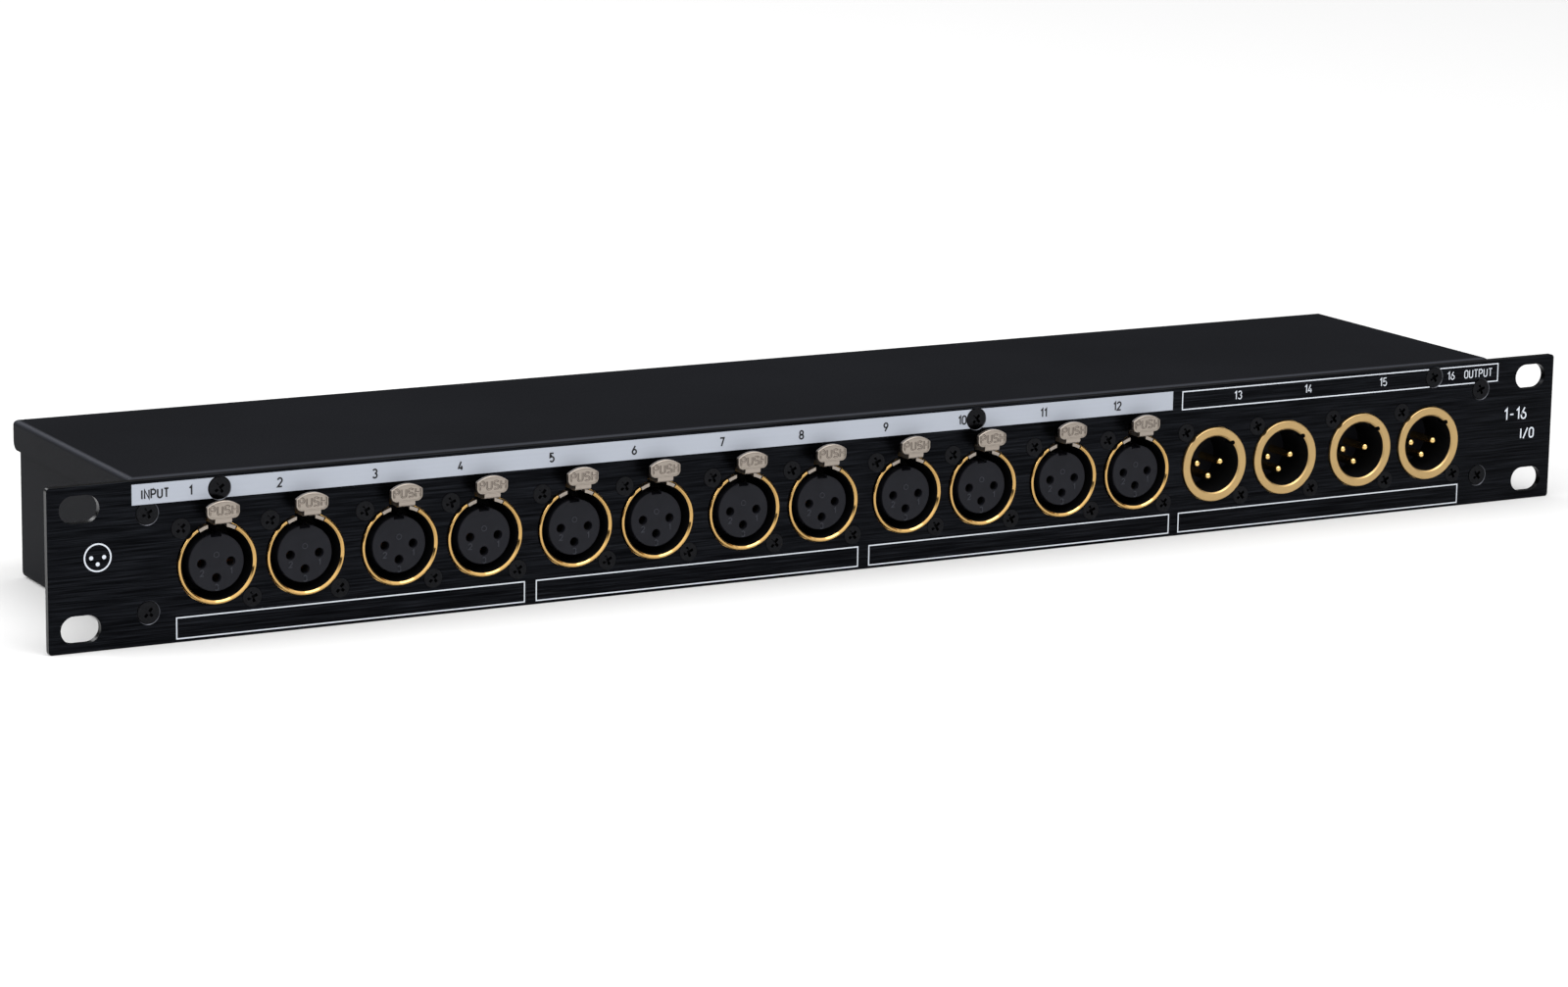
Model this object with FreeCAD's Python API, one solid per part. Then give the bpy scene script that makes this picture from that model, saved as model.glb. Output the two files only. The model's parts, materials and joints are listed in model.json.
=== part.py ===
"""Audio patch bay: a 19-inch, one-unit rack case with sixteen three-pin feed-through channels.

Frame: millimetres, +X to the right seen from the front, +Y from the front to the rear, +Z up.
The origin is the centre of the four rack slots, on the front face of the panel.
Channels 1 to 12 have a socket in front and a plug behind, channels 13 to 16 the other way round.
"""
import FreeCAD, Part

import math
import os

V = FreeCAD.Vector
AXIS_X = V(1, 0, 0)
AXIS_Y = V(0, 1, 0)
AXIS_Z = V(0, 0, 1)

# ---- front panel and rack slots -------------------------------------------------------------
EAR_WIDTH = 24.8             # beside the tray; the ears bring the panel to 482.6, the 19-inch width
PANEL_HEIGHT = 44.0
PANEL_THICK = 2.0
PANEL_CORNER_R = 1.0
PANEL_EDGE_R = 0.25
SLOT_EDGE_X = 8.75
SLOT_SPAN_Z = 31.75
SLOT_LENGTH = 11.0
SLOT_WIDTH = 7.4

# ---- case -----------------------------------------------------------------------------------
CASE_DEPTH = 89.4            # outer face of the rear wall, from the front face of the panel
TRAY_SHEET = 1.2
TRAY_BEND_R = 1.8
TRAY_LIP_GAP = 0.8           # under the connectors' flanges
COVER_SHEET = 1.2
COVER_ABOVE_PANEL = 0.4
COVER_SIDE_GAP = 0.3
COVER_LIP_DROP = 8.3
COVER_FRONT_LIP_DROP = 7.9
COVER_BEND_R = 1.6
COVER_LIP_CORNER_R = 2.5
COVER_SEAT_GAP = 0.3
POST_SIZE = 8.0
POST_FLANGE_GAP = 0.15
POST_END_GAP = 0.2
POST_CHAMFER = 0.5

# ---- channels -------------------------------------------------------------------------------
CHANNEL_COUNT = 16
FRONT_PLUG_COUNT = 4         # the last channels, whose front connector is a plug
TWIN_GAP = 0.4               # between the two flanges of a pair
PAIR_GAP = 2.5               # between the flanges of neighbouring pairs
CHANNEL_Z = -1.7

# ---- connector shells, sizes measured from the wall's outer face ------------------------------
BARREL_R = 11.0
BARREL_PROUD = 0.8
BARREL_EDGE_R = 0.4
BARREL_LENGTH = 24.0
WALL_HOLE_GAP = 0.25
SOCKET_BORE_R = 10.0
SOCKET_DEPTH = 14.5
SOCKET_SEAT_R = 7.8
PLUG_BORE_R = 8.4
PLUG_DEPTH = 12.5
PLUG_KEY_WIDTH = 1.8
PLUG_KEY_HEIGHT = 0.9
PLUG_RELEASE_R = 0.8
PLUG_RELEASE_DEPTH = 4.0
FLANGE_WIDTH = 24.6
FLANGE_HEIGHT = 26.0
FLANGE_THICK = 2.4
FLANGE_CORNER_R = 3.0
RELIEF_R = 3.4

# ---- inserts and contacts ----------------------------------------------------------------------
INSERT_GAP = 0.05
INSERT_RECESS = 0.3
INSERT_END = 26.0
INSERT_EDGE_R = 0.3
KEYWAY_WIDTH = 3.0
KEYWAY_DEPTH = 0.9
CONTACT_CIRCLE_R = 4.1
CONTACT_ANGLES = (0.0, 180.0, 270.0)
CONTACT_HOLE_R = 1.3
CONTACT_HOLE_DEPTH = 1.8
SLEEVE_R = 1.6
SLEEVE_BORE_R = 1.22
SLEEVE_BORE_END = 14.0
PIN_R = 1.2
PIN_RECESS = 2.0
PIN_COLLAR_R = 1.7
PIN_COLLAR_LENGTH = 0.8
CUP_R = 1.0
CUP_BORE_R = 0.7
CUP_BORE_DEPTH = 3.0
CUP_END = 30.0

# ---- latch lever -------------------------------------------------------------------------------
LATCH_TRAVEL_DEG = 8.0
ARM_WIDTH = 4.7
ARM_BOTTOM = 11.2
ARM_TOP = 12.3
ARM_BEND_R = 1.0
ARM_SIDE_GAP = 0.3
ARM_END = 10.3
GUIDE_HALF_ANGLE = 29.0
GUIDE_GAP_ANGLE = 1.6
GUIDE_WALL = 0.9
GUIDE_SET_BACK = 0.15
GUIDE_SEAT_DEPTH = 1.8
TAB_PROUD = 5.2
TAB_THICK = 1.2
TAB_WIDTH = 9.1
TAB_BOTTOM = 12.7
TAB_TOP = 17.55
TAB_SHOULDER = 15.95
TAB_CORNER_R = 1.6
TAB_EDGE_R = 0.3
TAB_RIM = 0.4
TAB_DISH = 0.15
NOSE_WIDTH = 3.0
NOSE_DROP = 2.1
NOSE_START = 6.6
NOSE_END = 9.0
HINGE_Y = 12.5
HINGE_W = 11.6
HINGE_PIN_R = 0.8
HINGE_RUN_GAP = 0.06
EYE_R = 1.7
BLOCK_WIDTH = 10.8
BLOCK_START = 9.4
BLOCK_END = 15.6
BLOCK_TOP = 13.6
NOTCH_SIDE_GAP = 0.6
NOTCH_TOP_GAP = 0.4
SPRING_WIRE_R = 0.3
SPRING_TURNS = 3
SPRING_PIN_GAP = 0.2

# ---- screws --------------------------------------------------------------------------------------
SCREW_EDGE_X = 2.4           # from the flange's edges
SCREW_EDGE_Z = 2.9
CONNECTOR_SCREW_R = 1.25
CONNECTOR_HEAD_R = 2.65
SINK_GAP = 0.15
CONNECTOR_SCREW_LENGTH = 6.0
COUNTERSINK_DEPTH = 1.3
SCREW_HOLE_GAP = 0.15
CASE_SCREW_R = 1.25
CASE_HEAD_R = 2.95
CASE_HEAD_HEIGHT = 1.7
CASE_SINK_DEPTH = 1.5
CASE_SINK_GAP = 0.3
CASE_SCREW_LENGTH = 8.0
COVER_SCREW_LENGTH = 5.0
POST_SCREW_EDGE_X = 1.3      # from the post's outer face
POST_SCREW_SPAN_Z = 26.4
COVER_SCREW_STEPS = ((1, 0.95), (10, -2.45), (16, 1.55))     # channel, and step beside its axis
COVER_SCREW_DROP = 3.8       # under the panel's top edge
REAR_SCREW_INSET = 0.85
REAR_SCREW_DROP = 4.8        # under the cover's top
NUT_R = 2.4
NUT_LENGTH = 2.2
RECESS_WIDTH = 0.8
RECESS_REACH = 1.5
RECESS_DEPTH = 1.0
RECESS_TURN_DEG = 41.0
RECESS_TURN_STEP_DEG = 7.0
RECESS_TURN_STEPS = 5
DOMED_RECESS_EXTRA = 0.3

# ---- internal leads --------------------------------------------------------------------------------
LEAD_R = 0.65
LEAD_STRAIGHT = 7.0
LEAD_SAG = 3.2
LEAD_SIDE_STEP = 0.9
LEAD_ARC_SHARE = 0.45

# ---- places worked out from the sizes above ----------------------------------------------------------
PAIR_PITCH = 2 * FLANGE_WIDTH + TWIN_GAP + PAIR_GAP
TWIN_HALF_PITCH = (FLANGE_WIDTH + TWIN_GAP) / 2
LAST_CHANNEL_X = (CHANNEL_COUNT / 2 - 1) / 2 * PAIR_PITCH + TWIN_HALF_PITCH
TRAY_INNER_X = LAST_CHANNEL_X + FLANGE_WIDTH / 2 + POST_FLANGE_GAP + POST_SIZE
TRAY_WIDTH = 2 * (TRAY_INNER_X + TRAY_SHEET)
PANEL_WIDTH = TRAY_WIDTH + 2 * EAR_WIDTH
SLOT_SPAN_X = PANEL_WIDTH - 2 * SLOT_EDGE_X
CONNECTOR_SCREW_X = FLANGE_WIDTH / 2 - SCREW_EDGE_X
CONNECTOR_SCREW_Z = FLANGE_HEIGHT / 2 - SCREW_EDGE_Z
POST_SCREW_X = TRAY_INNER_X - POST_SCREW_EDGE_X
PANEL_BOTTOM = -PANEL_HEIGHT / 2
PANEL_TOP = PANEL_HEIGHT / 2
COVER_TOP = PANEL_TOP + COVER_ABOVE_PANEL
COVER_UNDERSIDE = COVER_TOP - COVER_SHEET
COVER_INNER_X = TRAY_WIDTH / 2 + COVER_SIDE_GAP
TRAY_LIP_TOP = CHANNEL_Z - FLANGE_HEIGHT / 2 - TRAY_LIP_GAP
COVER_SCREW_Z = PANEL_TOP - COVER_SCREW_DROP
REAR_SCREW_X = LAST_CHANNEL_X - REAR_SCREW_INSET
REAR_SCREW_Z = COVER_TOP - REAR_SCREW_DROP
TRAY_FLOOR = PANEL_BOTTOM + TRAY_SHEET
TRAY_TOP = COVER_UNDERSIDE - COVER_SEAT_GAP
WALL_HOLE_R = BARREL_R + WALL_HOLE_GAP
LATCH_LIFT = (HINGE_Y + BARREL_PROUD) * math.sin(math.radians(LATCH_TRAVEL_DEG))
NOTCH_TOP = ARM_TOP + LATCH_LIFT + NOTCH_TOP_GAP
NOTCH_HALF_WIDTH = ARM_WIDTH / 2 + NOTCH_SIDE_GAP
ARM_SLOT_HALF_WIDTH = ARM_WIDTH / 2 + ARM_SIDE_GAP
SPRING_COIL_R = HINGE_PIN_R + SPRING_PIN_GAP + SPRING_WIRE_R


# ---- small helpers -------------------------------------------------------------------------------------
def block(x0, x1, y0, y1, z0, z1):
    """A box between two corners."""
    return Part.makeBox(x1 - x0, y1 - y0, z1 - z0, V(x0, y0, z0))


def rod(radius, start, end, x=0.0, z=0.0):
    """A cylinder along Y."""
    return Part.makeCylinder(radius, end - start, V(x, start, z), AXIS_Y)


def cross_rod(radius, x0, x1, y, z):
    """A cylinder along X."""
    return Part.makeCylinder(radius, x1 - x0, V(x0, y, z), AXIS_X)


def cone(r_start, r_end, start, end, x=0.0, z=0.0):
    """A cone frustum along Y."""
    return Part.makeCone(r_start, r_end, end - start, V(x, start, z), AXIS_Y)


def turned(points):
    """A solid turned about the Y axis from (radius, y) points."""
    corners = [V(radius, y, 0) for radius, y in points]
    outline = Part.makePolygon(corners + [corners[0]])
    return Part.Face(outline).revolve(V(0, 0, 0), AXIS_Y, 360)


def sector(r_inner, r_outer, half_angle, start, end):
    """A ring sector along Y, centred on +Z."""
    ring = rod(r_outer, start, end).cut(rod(r_inner, start - 1, end + 1))
    reach = 2 * r_outer
    half = math.radians(half_angle)
    corners = [V(0, start - 1, 0), V(reach * math.sin(half), start - 1, reach * math.cos(half)),
               V(-reach * math.sin(half), start - 1, reach * math.cos(half))]
    wedge = Part.Face(Part.makePolygon(corners + [corners[0]])).extrude(V(0, end - start + 2, 0))
    return ring.common(wedge)


def rounded_plate(width, height, start, end, corner_r):
    """A plate across Y with rounded corners, centred on the Y axis."""
    plate = block(-width / 2, width / 2, start, end, -height / 2, height / 2)
    corners = [edge for edge in plate.Edges if is_along(edge, AXIS_Y)]
    return plate.makeFillet(corner_r, corners)


def is_along(edge, axis):
    """True where a straight edge runs along an axis."""
    if not isinstance(edge.Curve, Part.Line):
        return False
    span = edge.Vertexes[-1].Point - edge.Vertexes[0].Point
    return abs(abs(span.normalize().dot(axis)) - 1) < 1e-6


def edges_at(shape, axis, **places):
    """The straight edges along an axis whose middle lies at the given places."""
    found = []
    for edge in shape.Edges:
        middle = edge.BoundBox.Center
        if is_along(edge, axis) and all(abs(getattr(middle, name) - value) < 1e-4
                                        for name, value in places.items()):
            found.append(edge)
    return found


def rim_edges(shape, y, radius):
    """The round edges of one radius in one plane across Y."""
    return [edge for edge in shape.Edges
            if isinstance(edge.Curve, Part.Circle) and abs(edge.Curve.Radius - radius) < 1e-4
            and abs(edge.BoundBox.YMin - y) < 1e-4 and abs(edge.BoundBox.YMax - y) < 1e-4]


def stadium(length, width, start, end, x, z):
    """A slot-shaped solid along Y, its length along X."""
    reach = (length - width) / 2
    body = block(x - reach, x + reach, start, end, z - width / 2, z + width / 2)
    return body.fuse([rod(width / 2, start, end, x - reach, z),
                      rod(width / 2, start, end, x + reach, z)]).removeSplitter()


def placed(shape, x, y, z):
    """A copy moved to a place."""
    copy = shape.copy()
    copy.translate(V(x, y, z))
    return copy


def turned_screw(screw, index):
    """A screw turned about its own axis, so that the driver recesses stand at different angles."""
    copy = screw.copy()
    turn = RECESS_TURN_DEG + RECESS_TURN_STEP_DEG * (index * 3 % RECESS_TURN_STEPS)
    copy.rotate(V(0, 0, 0), AXIS_Y, turn)
    return copy


def mirrored_rear(shape):
    """A copy turned front to back, from the panel's outer face to the rear wall's."""
    return shape.mirror(V(0, CASE_DEPTH / 2, 0), AXIS_Y)


def channel_x(channel):
    """The place of a channel across the case, from its number, 1 to 16."""
    pair, second = divmod(channel - 1, 2)
    pair_centre = (pair - (CHANNEL_COUNT / 2 - 1) / 2) * PAIR_PITCH
    return pair_centre + (TWIN_HALF_PITCH if second else -TWIN_HALF_PITCH)


SOCKET_CHANNELS = range(1, CHANNEL_COUNT - FRONT_PLUG_COUNT + 1)
PLUG_CHANNELS = range(CHANNEL_COUNT - FRONT_PLUG_COUNT + 1, CHANNEL_COUNT + 1)


def contact_places():
    """The places of the three contacts about the connector's axis."""
    return [(CONTACT_CIRCLE_R * math.cos(math.radians(angle)),
             CONTACT_CIRCLE_R * math.sin(math.radians(angle))) for angle in CONTACT_ANGLES]


def screw_places():
    """The places of a connector's two screws about its axis."""
    return [(-CONNECTOR_SCREW_X, CONNECTOR_SCREW_Z), (CONNECTOR_SCREW_X, -CONNECTOR_SCREW_Z)]


# ---- connector shells ------------------------------------------------------------------------------
def shell_body(bore, wall):
    """A barrel with its flange behind the wall, screw holes and edge relief; bore is cut from it."""
    front = -BARREL_PROUD
    barrel = rod(BARREL_R, front, BARREL_LENGTH)
    barrel = barrel.makeFillet(BARREL_EDGE_R, rim_edges(barrel, front, BARREL_R))
    flange = rounded_plate(FLANGE_WIDTH, FLANGE_HEIGHT, wall, wall + FLANGE_THICK, FLANGE_CORNER_R)
    shell = barrel.fuse(flange)
    for x, z in screw_places():
        shell = shell.cut(rod(CONNECTOR_SCREW_R, wall - 1, wall + FLANGE_THICK + 1, x, z))
        shell = shell.cut(rod(RELIEF_R, front - 1, wall, x, z))
    return shell.cut(bore)


def socket_shell(wall):
    """A socket's shell: wide bore for the mating plug, seat for the insert, latch slot and block."""
    front = -BARREL_PROUD
    lip = SOCKET_BORE_R + BARREL_EDGE_R
    bore = turned([(0, front - 1), (lip, front - 1), (lip, front), (SOCKET_BORE_R, front + BARREL_EDGE_R),
                   (SOCKET_BORE_R, SOCKET_DEPTH), (SOCKET_SEAT_R, SOCKET_DEPTH),
                   (SOCKET_SEAT_R, BARREL_LENGTH + 1), (0, BARREL_LENGTH + 1)])
    shell = shell_body(bore, wall)
    latch_block = block(-BLOCK_WIDTH / 2, BLOCK_WIDTH / 2, BLOCK_START, BLOCK_END,
                        SOCKET_SEAT_R, BLOCK_TOP)
    shell = shell.fuse(latch_block.cut(bore))
    slot = block(-ARM_SLOT_HALF_WIDTH, ARM_SLOT_HALF_WIDTH, front - 1, BLOCK_END + 1,
                 SOCKET_SEAT_R + 1, BLOCK_TOP + 1)
    guide_seat = sector(SOCKET_BORE_R - 1, BLOCK_TOP, GUIDE_HALF_ANGLE + GUIDE_GAP_ANGLE,
                        front - 1, GUIDE_SEAT_DEPTH)
    pin_hole = cross_rod(HINGE_PIN_R, -BLOCK_WIDTH, BLOCK_WIDTH, HINGE_Y, HINGE_W)
    return shell.cut([slot, guide_seat, pin_hole]).removeSplitter()


def plug_shell(wall):
    """A plug's shell: plain bore round the pins, with a key at the top and a release groove."""
    front = -BARREL_PROUD
    lip = PLUG_BORE_R + BARREL_EDGE_R
    bore = turned([(0, front - 1), (lip, front - 1), (lip, front), (PLUG_BORE_R, front + BARREL_EDGE_R),
                   (PLUG_BORE_R, BARREL_LENGTH + 1), (0, BARREL_LENGTH + 1)])
    side = PLUG_BORE_R * math.cos(math.pi / 4)
    groove = rod(PLUG_RELEASE_R, front - 1, PLUG_RELEASE_DEPTH, side, side)
    key = block(-PLUG_KEY_WIDTH / 2, PLUG_KEY_WIDTH / 2, wall, PLUG_DEPTH,
                PLUG_BORE_R - PLUG_KEY_HEIGHT, BARREL_R - BARREL_EDGE_R)
    return shell_body(bore, wall).cut(groove).fuse(key).removeSplitter()


# ---- inserts and contacts ----------------------------------------------------------------------------
def socket_insert():
    """A socket's moulded insert, with its keyway and stepped contact holes."""
    radius = SOCKET_SEAT_R - INSERT_GAP
    insert = rod(radius, INSERT_RECESS, INSERT_END)
    insert = insert.makeFillet(INSERT_EDGE_R, rim_edges(insert, INSERT_RECESS, radius))
    cuts = [block(-KEYWAY_WIDTH / 2, KEYWAY_WIDTH / 2, INSERT_RECESS - 1, SOCKET_DEPTH,
                  radius - KEYWAY_DEPTH, radius + 1)]
    for x, z in contact_places():
        cuts.append(rod(CONTACT_HOLE_R, INSERT_RECESS - 1, CONTACT_HOLE_DEPTH + 1, x, z))
        cuts.append(rod(SLEEVE_R, CONTACT_HOLE_DEPTH, INSERT_END + 1, x, z))
    return insert.cut(cuts)


def plug_insert():
    """A plug's moulded insert disc that carries the pins."""
    insert = rod(PLUG_BORE_R - INSERT_GAP, PLUG_DEPTH, INSERT_END)
    cuts = []
    for x, z in contact_places():
        cuts.append(rod(PIN_R, PLUG_DEPTH - 1, INSERT_END + 1, x, z))
        cuts.append(rod(PIN_COLLAR_R, INSERT_END - PIN_COLLAR_LENGTH, INSERT_END + 1, x, z))
    return insert.cut(cuts)


def solder_cup():
    """The open cup at a contact's rear end, for its lead."""
    cup = rod(CUP_R, INSERT_END, CUP_END)
    return cup.cut(rod(CUP_BORE_R, CUP_END - CUP_BORE_DEPTH, CUP_END + 1))


def socket_contact():
    """A turned sleeve contact with a solder cup."""
    sleeve = rod(SLEEVE_R, CONTACT_HOLE_DEPTH, INSERT_END)
    sleeve = sleeve.cut(rod(SLEEVE_BORE_R, CONTACT_HOLE_DEPTH - 1, SLEEVE_BORE_END))
    return sleeve.fuse(solder_cup()).removeSplitter()


def plug_pin():
    """A turned pin with a round tip, a rear collar and a solder cup."""
    shank = rod(PIN_R, PIN_RECESS + PIN_R, INSERT_END - PIN_COLLAR_LENGTH)
    tip = Part.makeSphere(PIN_R, V(0, PIN_RECESS + PIN_R, 0))
    collar = rod(PIN_COLLAR_R, INSERT_END - PIN_COLLAR_LENGTH, INSERT_END)
    return shank.fuse([tip, collar, solder_cup()]).removeSplitter()


# ---- latch lever ---------------------------------------------------------------------------------------
def tab_face(inset, y):
    """The tab's outline with a domed top, drawn smaller by an inset, as a face across Y."""
    half = TAB_WIDTH / 2 - inset
    low = TAB_BOTTOM + inset
    top = TAB_TOP - inset
    corner = max(TAB_CORNER_R - inset, TAB_CORNER_R / 3)
    side = corner * (1 - math.cos(math.pi / 4))
    edges = [
        Part.makeLine(V(-half + corner, y, low), V(half - corner, y, low)),
        Part.Arc(V(half - corner, y, low), V(half - side, y, low + side),
                 V(half, y, low + corner)).toShape(),
        Part.makeLine(V(half, y, low + corner), V(half, y, TAB_SHOULDER)),
        Part.Arc(V(half, y, TAB_SHOULDER), V(0, y, top), V(-half, y, TAB_SHOULDER)).toShape(),
        Part.makeLine(V(-half, y, TAB_SHOULDER), V(-half, y, low + corner)),
        Part.Arc(V(-half, y, low + corner), V(-half + side, y, low + side),
                 V(-half + corner, y, low)).toShape(),
    ]
    return Part.Face(Part.Wire(edges))


def latch_lever():
    """The push latch: tab, neck, arm with its nose, and the hinge eye."""
    front = -TAB_PROUD
    tab_back = front + TAB_THICK
    tab = tab_face(0.0, front).extrude(V(0, TAB_THICK, 0))
    rim = [edge for edge in tab.Edges if abs(edge.BoundBox.YMax - front) < 1e-4]
    tab = tab.makeFillet(TAB_EDGE_R, rim)
    tab = tab.cut(tab_face(TAB_RIM, front - 1).extrude(V(0, 1 + TAB_DISH, 0)))
    half = ARM_WIDTH / 2
    neck = block(-half, half, front + TAB_DISH, tab_back, ARM_BOTTOM, TAB_BOTTOM + TAB_RIM)
    arm = block(-half, half, front + TAB_DISH, ARM_END, ARM_BOTTOM, ARM_TOP)
    nose_points = [V(0, NOSE_START, ARM_BOTTOM), V(0, NOSE_END, ARM_BOTTOM),
                   V(0, NOSE_END, ARM_BOTTOM - NOSE_DROP)]
    nose = Part.Face(Part.makePolygon(nose_points + [nose_points[0]])).extrude(V(NOSE_WIDTH, 0, 0))
    nose.translate(V(-NOSE_WIDTH / 2, 0, 0))
    link = block(-half, 0, ARM_END - 1, HINGE_Y, HINGE_W - EYE_R, ARM_TOP)
    eye = cross_rod(EYE_R, -half, 0, HINGE_Y, HINGE_W)
    stem = neck.fuse(arm).removeSplitter()
    stem = stem.makeFillet(ARM_BEND_R, edges_at(stem, AXIS_X, y=front + TAB_DISH, z=ARM_BOTTOM))
    lever = tab.fuse([stem, nose, link, eye])
    bore = cross_rod(HINGE_PIN_R + HINGE_RUN_GAP, -ARM_WIDTH, ARM_WIDTH, HINGE_Y, HINGE_W)
    return lever.cut(bore).removeSplitter()


def latch_guide(side):
    """One of the two curved guide pads beside the latch arm; side is -1 or 1."""
    outer = BARREL_R - BARREL_EDGE_R / 2
    arch = sector(outer - GUIDE_WALL, outer, GUIDE_HALF_ANGLE,
                  GUIDE_SET_BACK - BARREL_PROUD, GUIDE_SEAT_DEPTH)
    keep = block(ARM_SLOT_HALF_WIDTH, BARREL_R, -BARREL_PROUD, GUIDE_SEAT_DEPTH, 0, BARREL_R)
    pad = arch.common(keep)
    return pad if side > 0 else pad.mirror(V(0, 0, 0), AXIS_X)


def latch_pin():
    """The hinge pin, held in both cheeks of the shell's latch block."""
    return cross_rod(HINGE_PIN_R, -BLOCK_WIDTH / 2, BLOCK_WIDTH / 2, HINGE_Y, HINGE_W)


def latch_spring():
    """The coil of the latch's return spring, turns side by side on the hinge pin."""
    pitch = 2 * SPRING_WIRE_R - 0.06
    first = ARM_SIDE_GAP + SPRING_WIRE_R
    turns = [Part.makeTorus(SPRING_COIL_R, SPRING_WIRE_R,
                            V(first + turn * pitch, HINGE_Y, HINGE_W), AXIS_X)
             for turn in range(SPRING_TURNS)]
    return turns[0].fuse(turns[1:])


# ---- screws ------------------------------------------------------------------------------------------------
def cross_recess(y, depth):
    """The cross-shaped driver recess of a screw, sunk from y."""
    across = block(-RECESS_REACH, RECESS_REACH, y - 1, y + depth, -RECESS_WIDTH / 2, RECESS_WIDTH / 2)
    upright = block(-RECESS_WIDTH / 2, RECESS_WIDTH / 2, y - 1, y + depth, -RECESS_REACH, RECESS_REACH)
    return across.fuse(upright)


def countersunk_screw(head_r, sink_depth, shank_r, length):
    """A countersunk screw, flush with the wall's face at y = 0."""
    head = cone(head_r, shank_r, 0, sink_depth)
    shank = rod(shank_r, sink_depth, length)
    return head.fuse(shank).cut(cross_recess(0, RECESS_DEPTH)).removeSplitter()


def domed_head(radius, height):
    """A low domed screw head standing out from y = 0 towards -Y."""
    dome_r = (radius ** 2 + height ** 2) / (2 * height)
    ball = Part.makeSphere(dome_r, V(0, dome_r - height, 0))
    return ball.common(rod(radius, -height, 0))


def domed_screw(head_r, head_height, shank_r, length):
    """A screw with a low domed head that seats at y = 0."""
    screw = domed_head(head_r, head_height).fuse(rod(shank_r, 0, length))
    return screw.cut(cross_recess(-head_height, RECESS_DEPTH + DOMED_RECESS_EXTRA)).removeSplitter()


# ---- case -------------------------------------------------------------------------------------------------------
def front_panel():
    """The rack panel with its slots, connector holes and screw holes."""
    panel = rounded_plate(PANEL_WIDTH, PANEL_HEIGHT, 0, PANEL_THICK, PANEL_CORNER_R)
    outline = [edge for edge in panel.Edges if edge.BoundBox.YMax < PANEL_THICK / 2]
    panel = panel.makeFillet(PANEL_EDGE_R, outline)
    cuts = []
    for x in (-SLOT_SPAN_X / 2, SLOT_SPAN_X / 2):
        for z in (-SLOT_SPAN_Z / 2, SLOT_SPAN_Z / 2):
            cuts.append(stadium(SLOT_LENGTH, SLOT_WIDTH, -1, PANEL_THICK + 1, x, z))
    for channel in SOCKET_CHANNELS:
        cuts += socket_wall_cuts(PANEL_THICK, channel_x(channel))
        cuts += connector_screw_cuts(PANEL_THICK, channel_x(channel))
    for channel in PLUG_CHANNELS:
        cuts.append(rod(WALL_HOLE_R, -1, PANEL_THICK + 1, channel_x(channel), CHANNEL_Z))
        cuts += connector_screw_cuts(PANEL_THICK, channel_x(channel))
    for x, z in post_screw_places() + front_cover_screw_places():
        cuts.append(rod(CASE_SCREW_R + SCREW_HOLE_GAP, -1, PANEL_THICK + 1, x, z))
        cuts.append(cone(CASE_HEAD_R + CASE_SINK_GAP, CASE_SCREW_R, 0, CASE_SINK_DEPTH, x, z))
    return panel.cut(cuts)


def socket_wall_cuts(wall, x):
    """A wall's hole round a socket, with room above for its latch to lift."""
    notch = block(-NOTCH_HALF_WIDTH, NOTCH_HALF_WIDTH, -1, wall + 1, 0, NOTCH_TOP)
    return [rod(WALL_HOLE_R, -1, wall + 1, x, CHANNEL_Z), placed(notch, x, 0, CHANNEL_Z)]


def connector_screw_cuts(wall, x):
    """Countersunk clearance holes for a connector's two screws."""
    cuts = []
    for dx, dz in screw_places():
        hole = rod(CONNECTOR_SCREW_R, -1, wall + 1)
        sink = cone(CONNECTOR_HEAD_R + SINK_GAP, CONNECTOR_SCREW_R, 0, COUNTERSINK_DEPTH)
        cuts.append(placed(hole.fuse(sink), x + dx, 0, CHANNEL_Z + dz))
    return cuts


def post_screw_places():
    """The four panel screws that go into the corner posts."""
    return [(x, z) for x in (-POST_SCREW_X, POST_SCREW_X)
            for z in (-POST_SCREW_SPAN_Z / 2, POST_SCREW_SPAN_Z / 2)]


def front_cover_screw_places():
    """The panel screws that go into the cover's front lip."""
    return [(channel_x(channel) + step, COVER_SCREW_Z) for channel, step in COVER_SCREW_STEPS]


def rear_cover_screw_places():
    """The screws that go through the cover's rear lip into the rear wall."""
    return [(x, REAR_SCREW_Z) for x in (-REAR_SCREW_X, 0.0, REAR_SCREW_X)]


def tray_space(end):
    """The room inside the tray's floor and sides, with its two inner bends, from the panel to end."""
    inside = block(-TRAY_INNER_X, TRAY_INNER_X, PANEL_THICK - 1, end, TRAY_FLOOR, TRAY_TOP + 1)
    return inside.makeFillet(TRAY_BEND_R - TRAY_SHEET, edges_at(inside, AXIS_Y, z=TRAY_FLOOR))


def chassis_tray():
    """The folded tray: floor, two sides and a low lip behind the panel."""
    half = TRAY_WIDTH / 2
    outer = block(-half, half, PANEL_THICK, CASE_DEPTH, PANEL_BOTTOM, TRAY_TOP)
    outer = outer.makeFillet(TRAY_BEND_R, edges_at(outer, AXIS_Y, z=PANEL_BOTTOM))
    tray = outer.cut(tray_space(CASE_DEPTH + 1))
    lip = block(-TRAY_INNER_X + POST_SIZE, TRAY_INNER_X - POST_SIZE, PANEL_THICK,
                PANEL_THICK + TRAY_SHEET, PANEL_BOTTOM, TRAY_LIP_TOP)
    return tray.fuse(lip).removeSplitter()


def rear_wall():
    """The rear wall, welded in between the tray's sides, on its floor."""
    room = block(-TRAY_INNER_X, TRAY_INNER_X, CASE_DEPTH - TRAY_SHEET, CASE_DEPTH,
                 TRAY_FLOOR, TRAY_TOP)
    return tray_space(CASE_DEPTH).common(room).cut(rear_wall_cuts()).removeSplitter()


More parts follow.
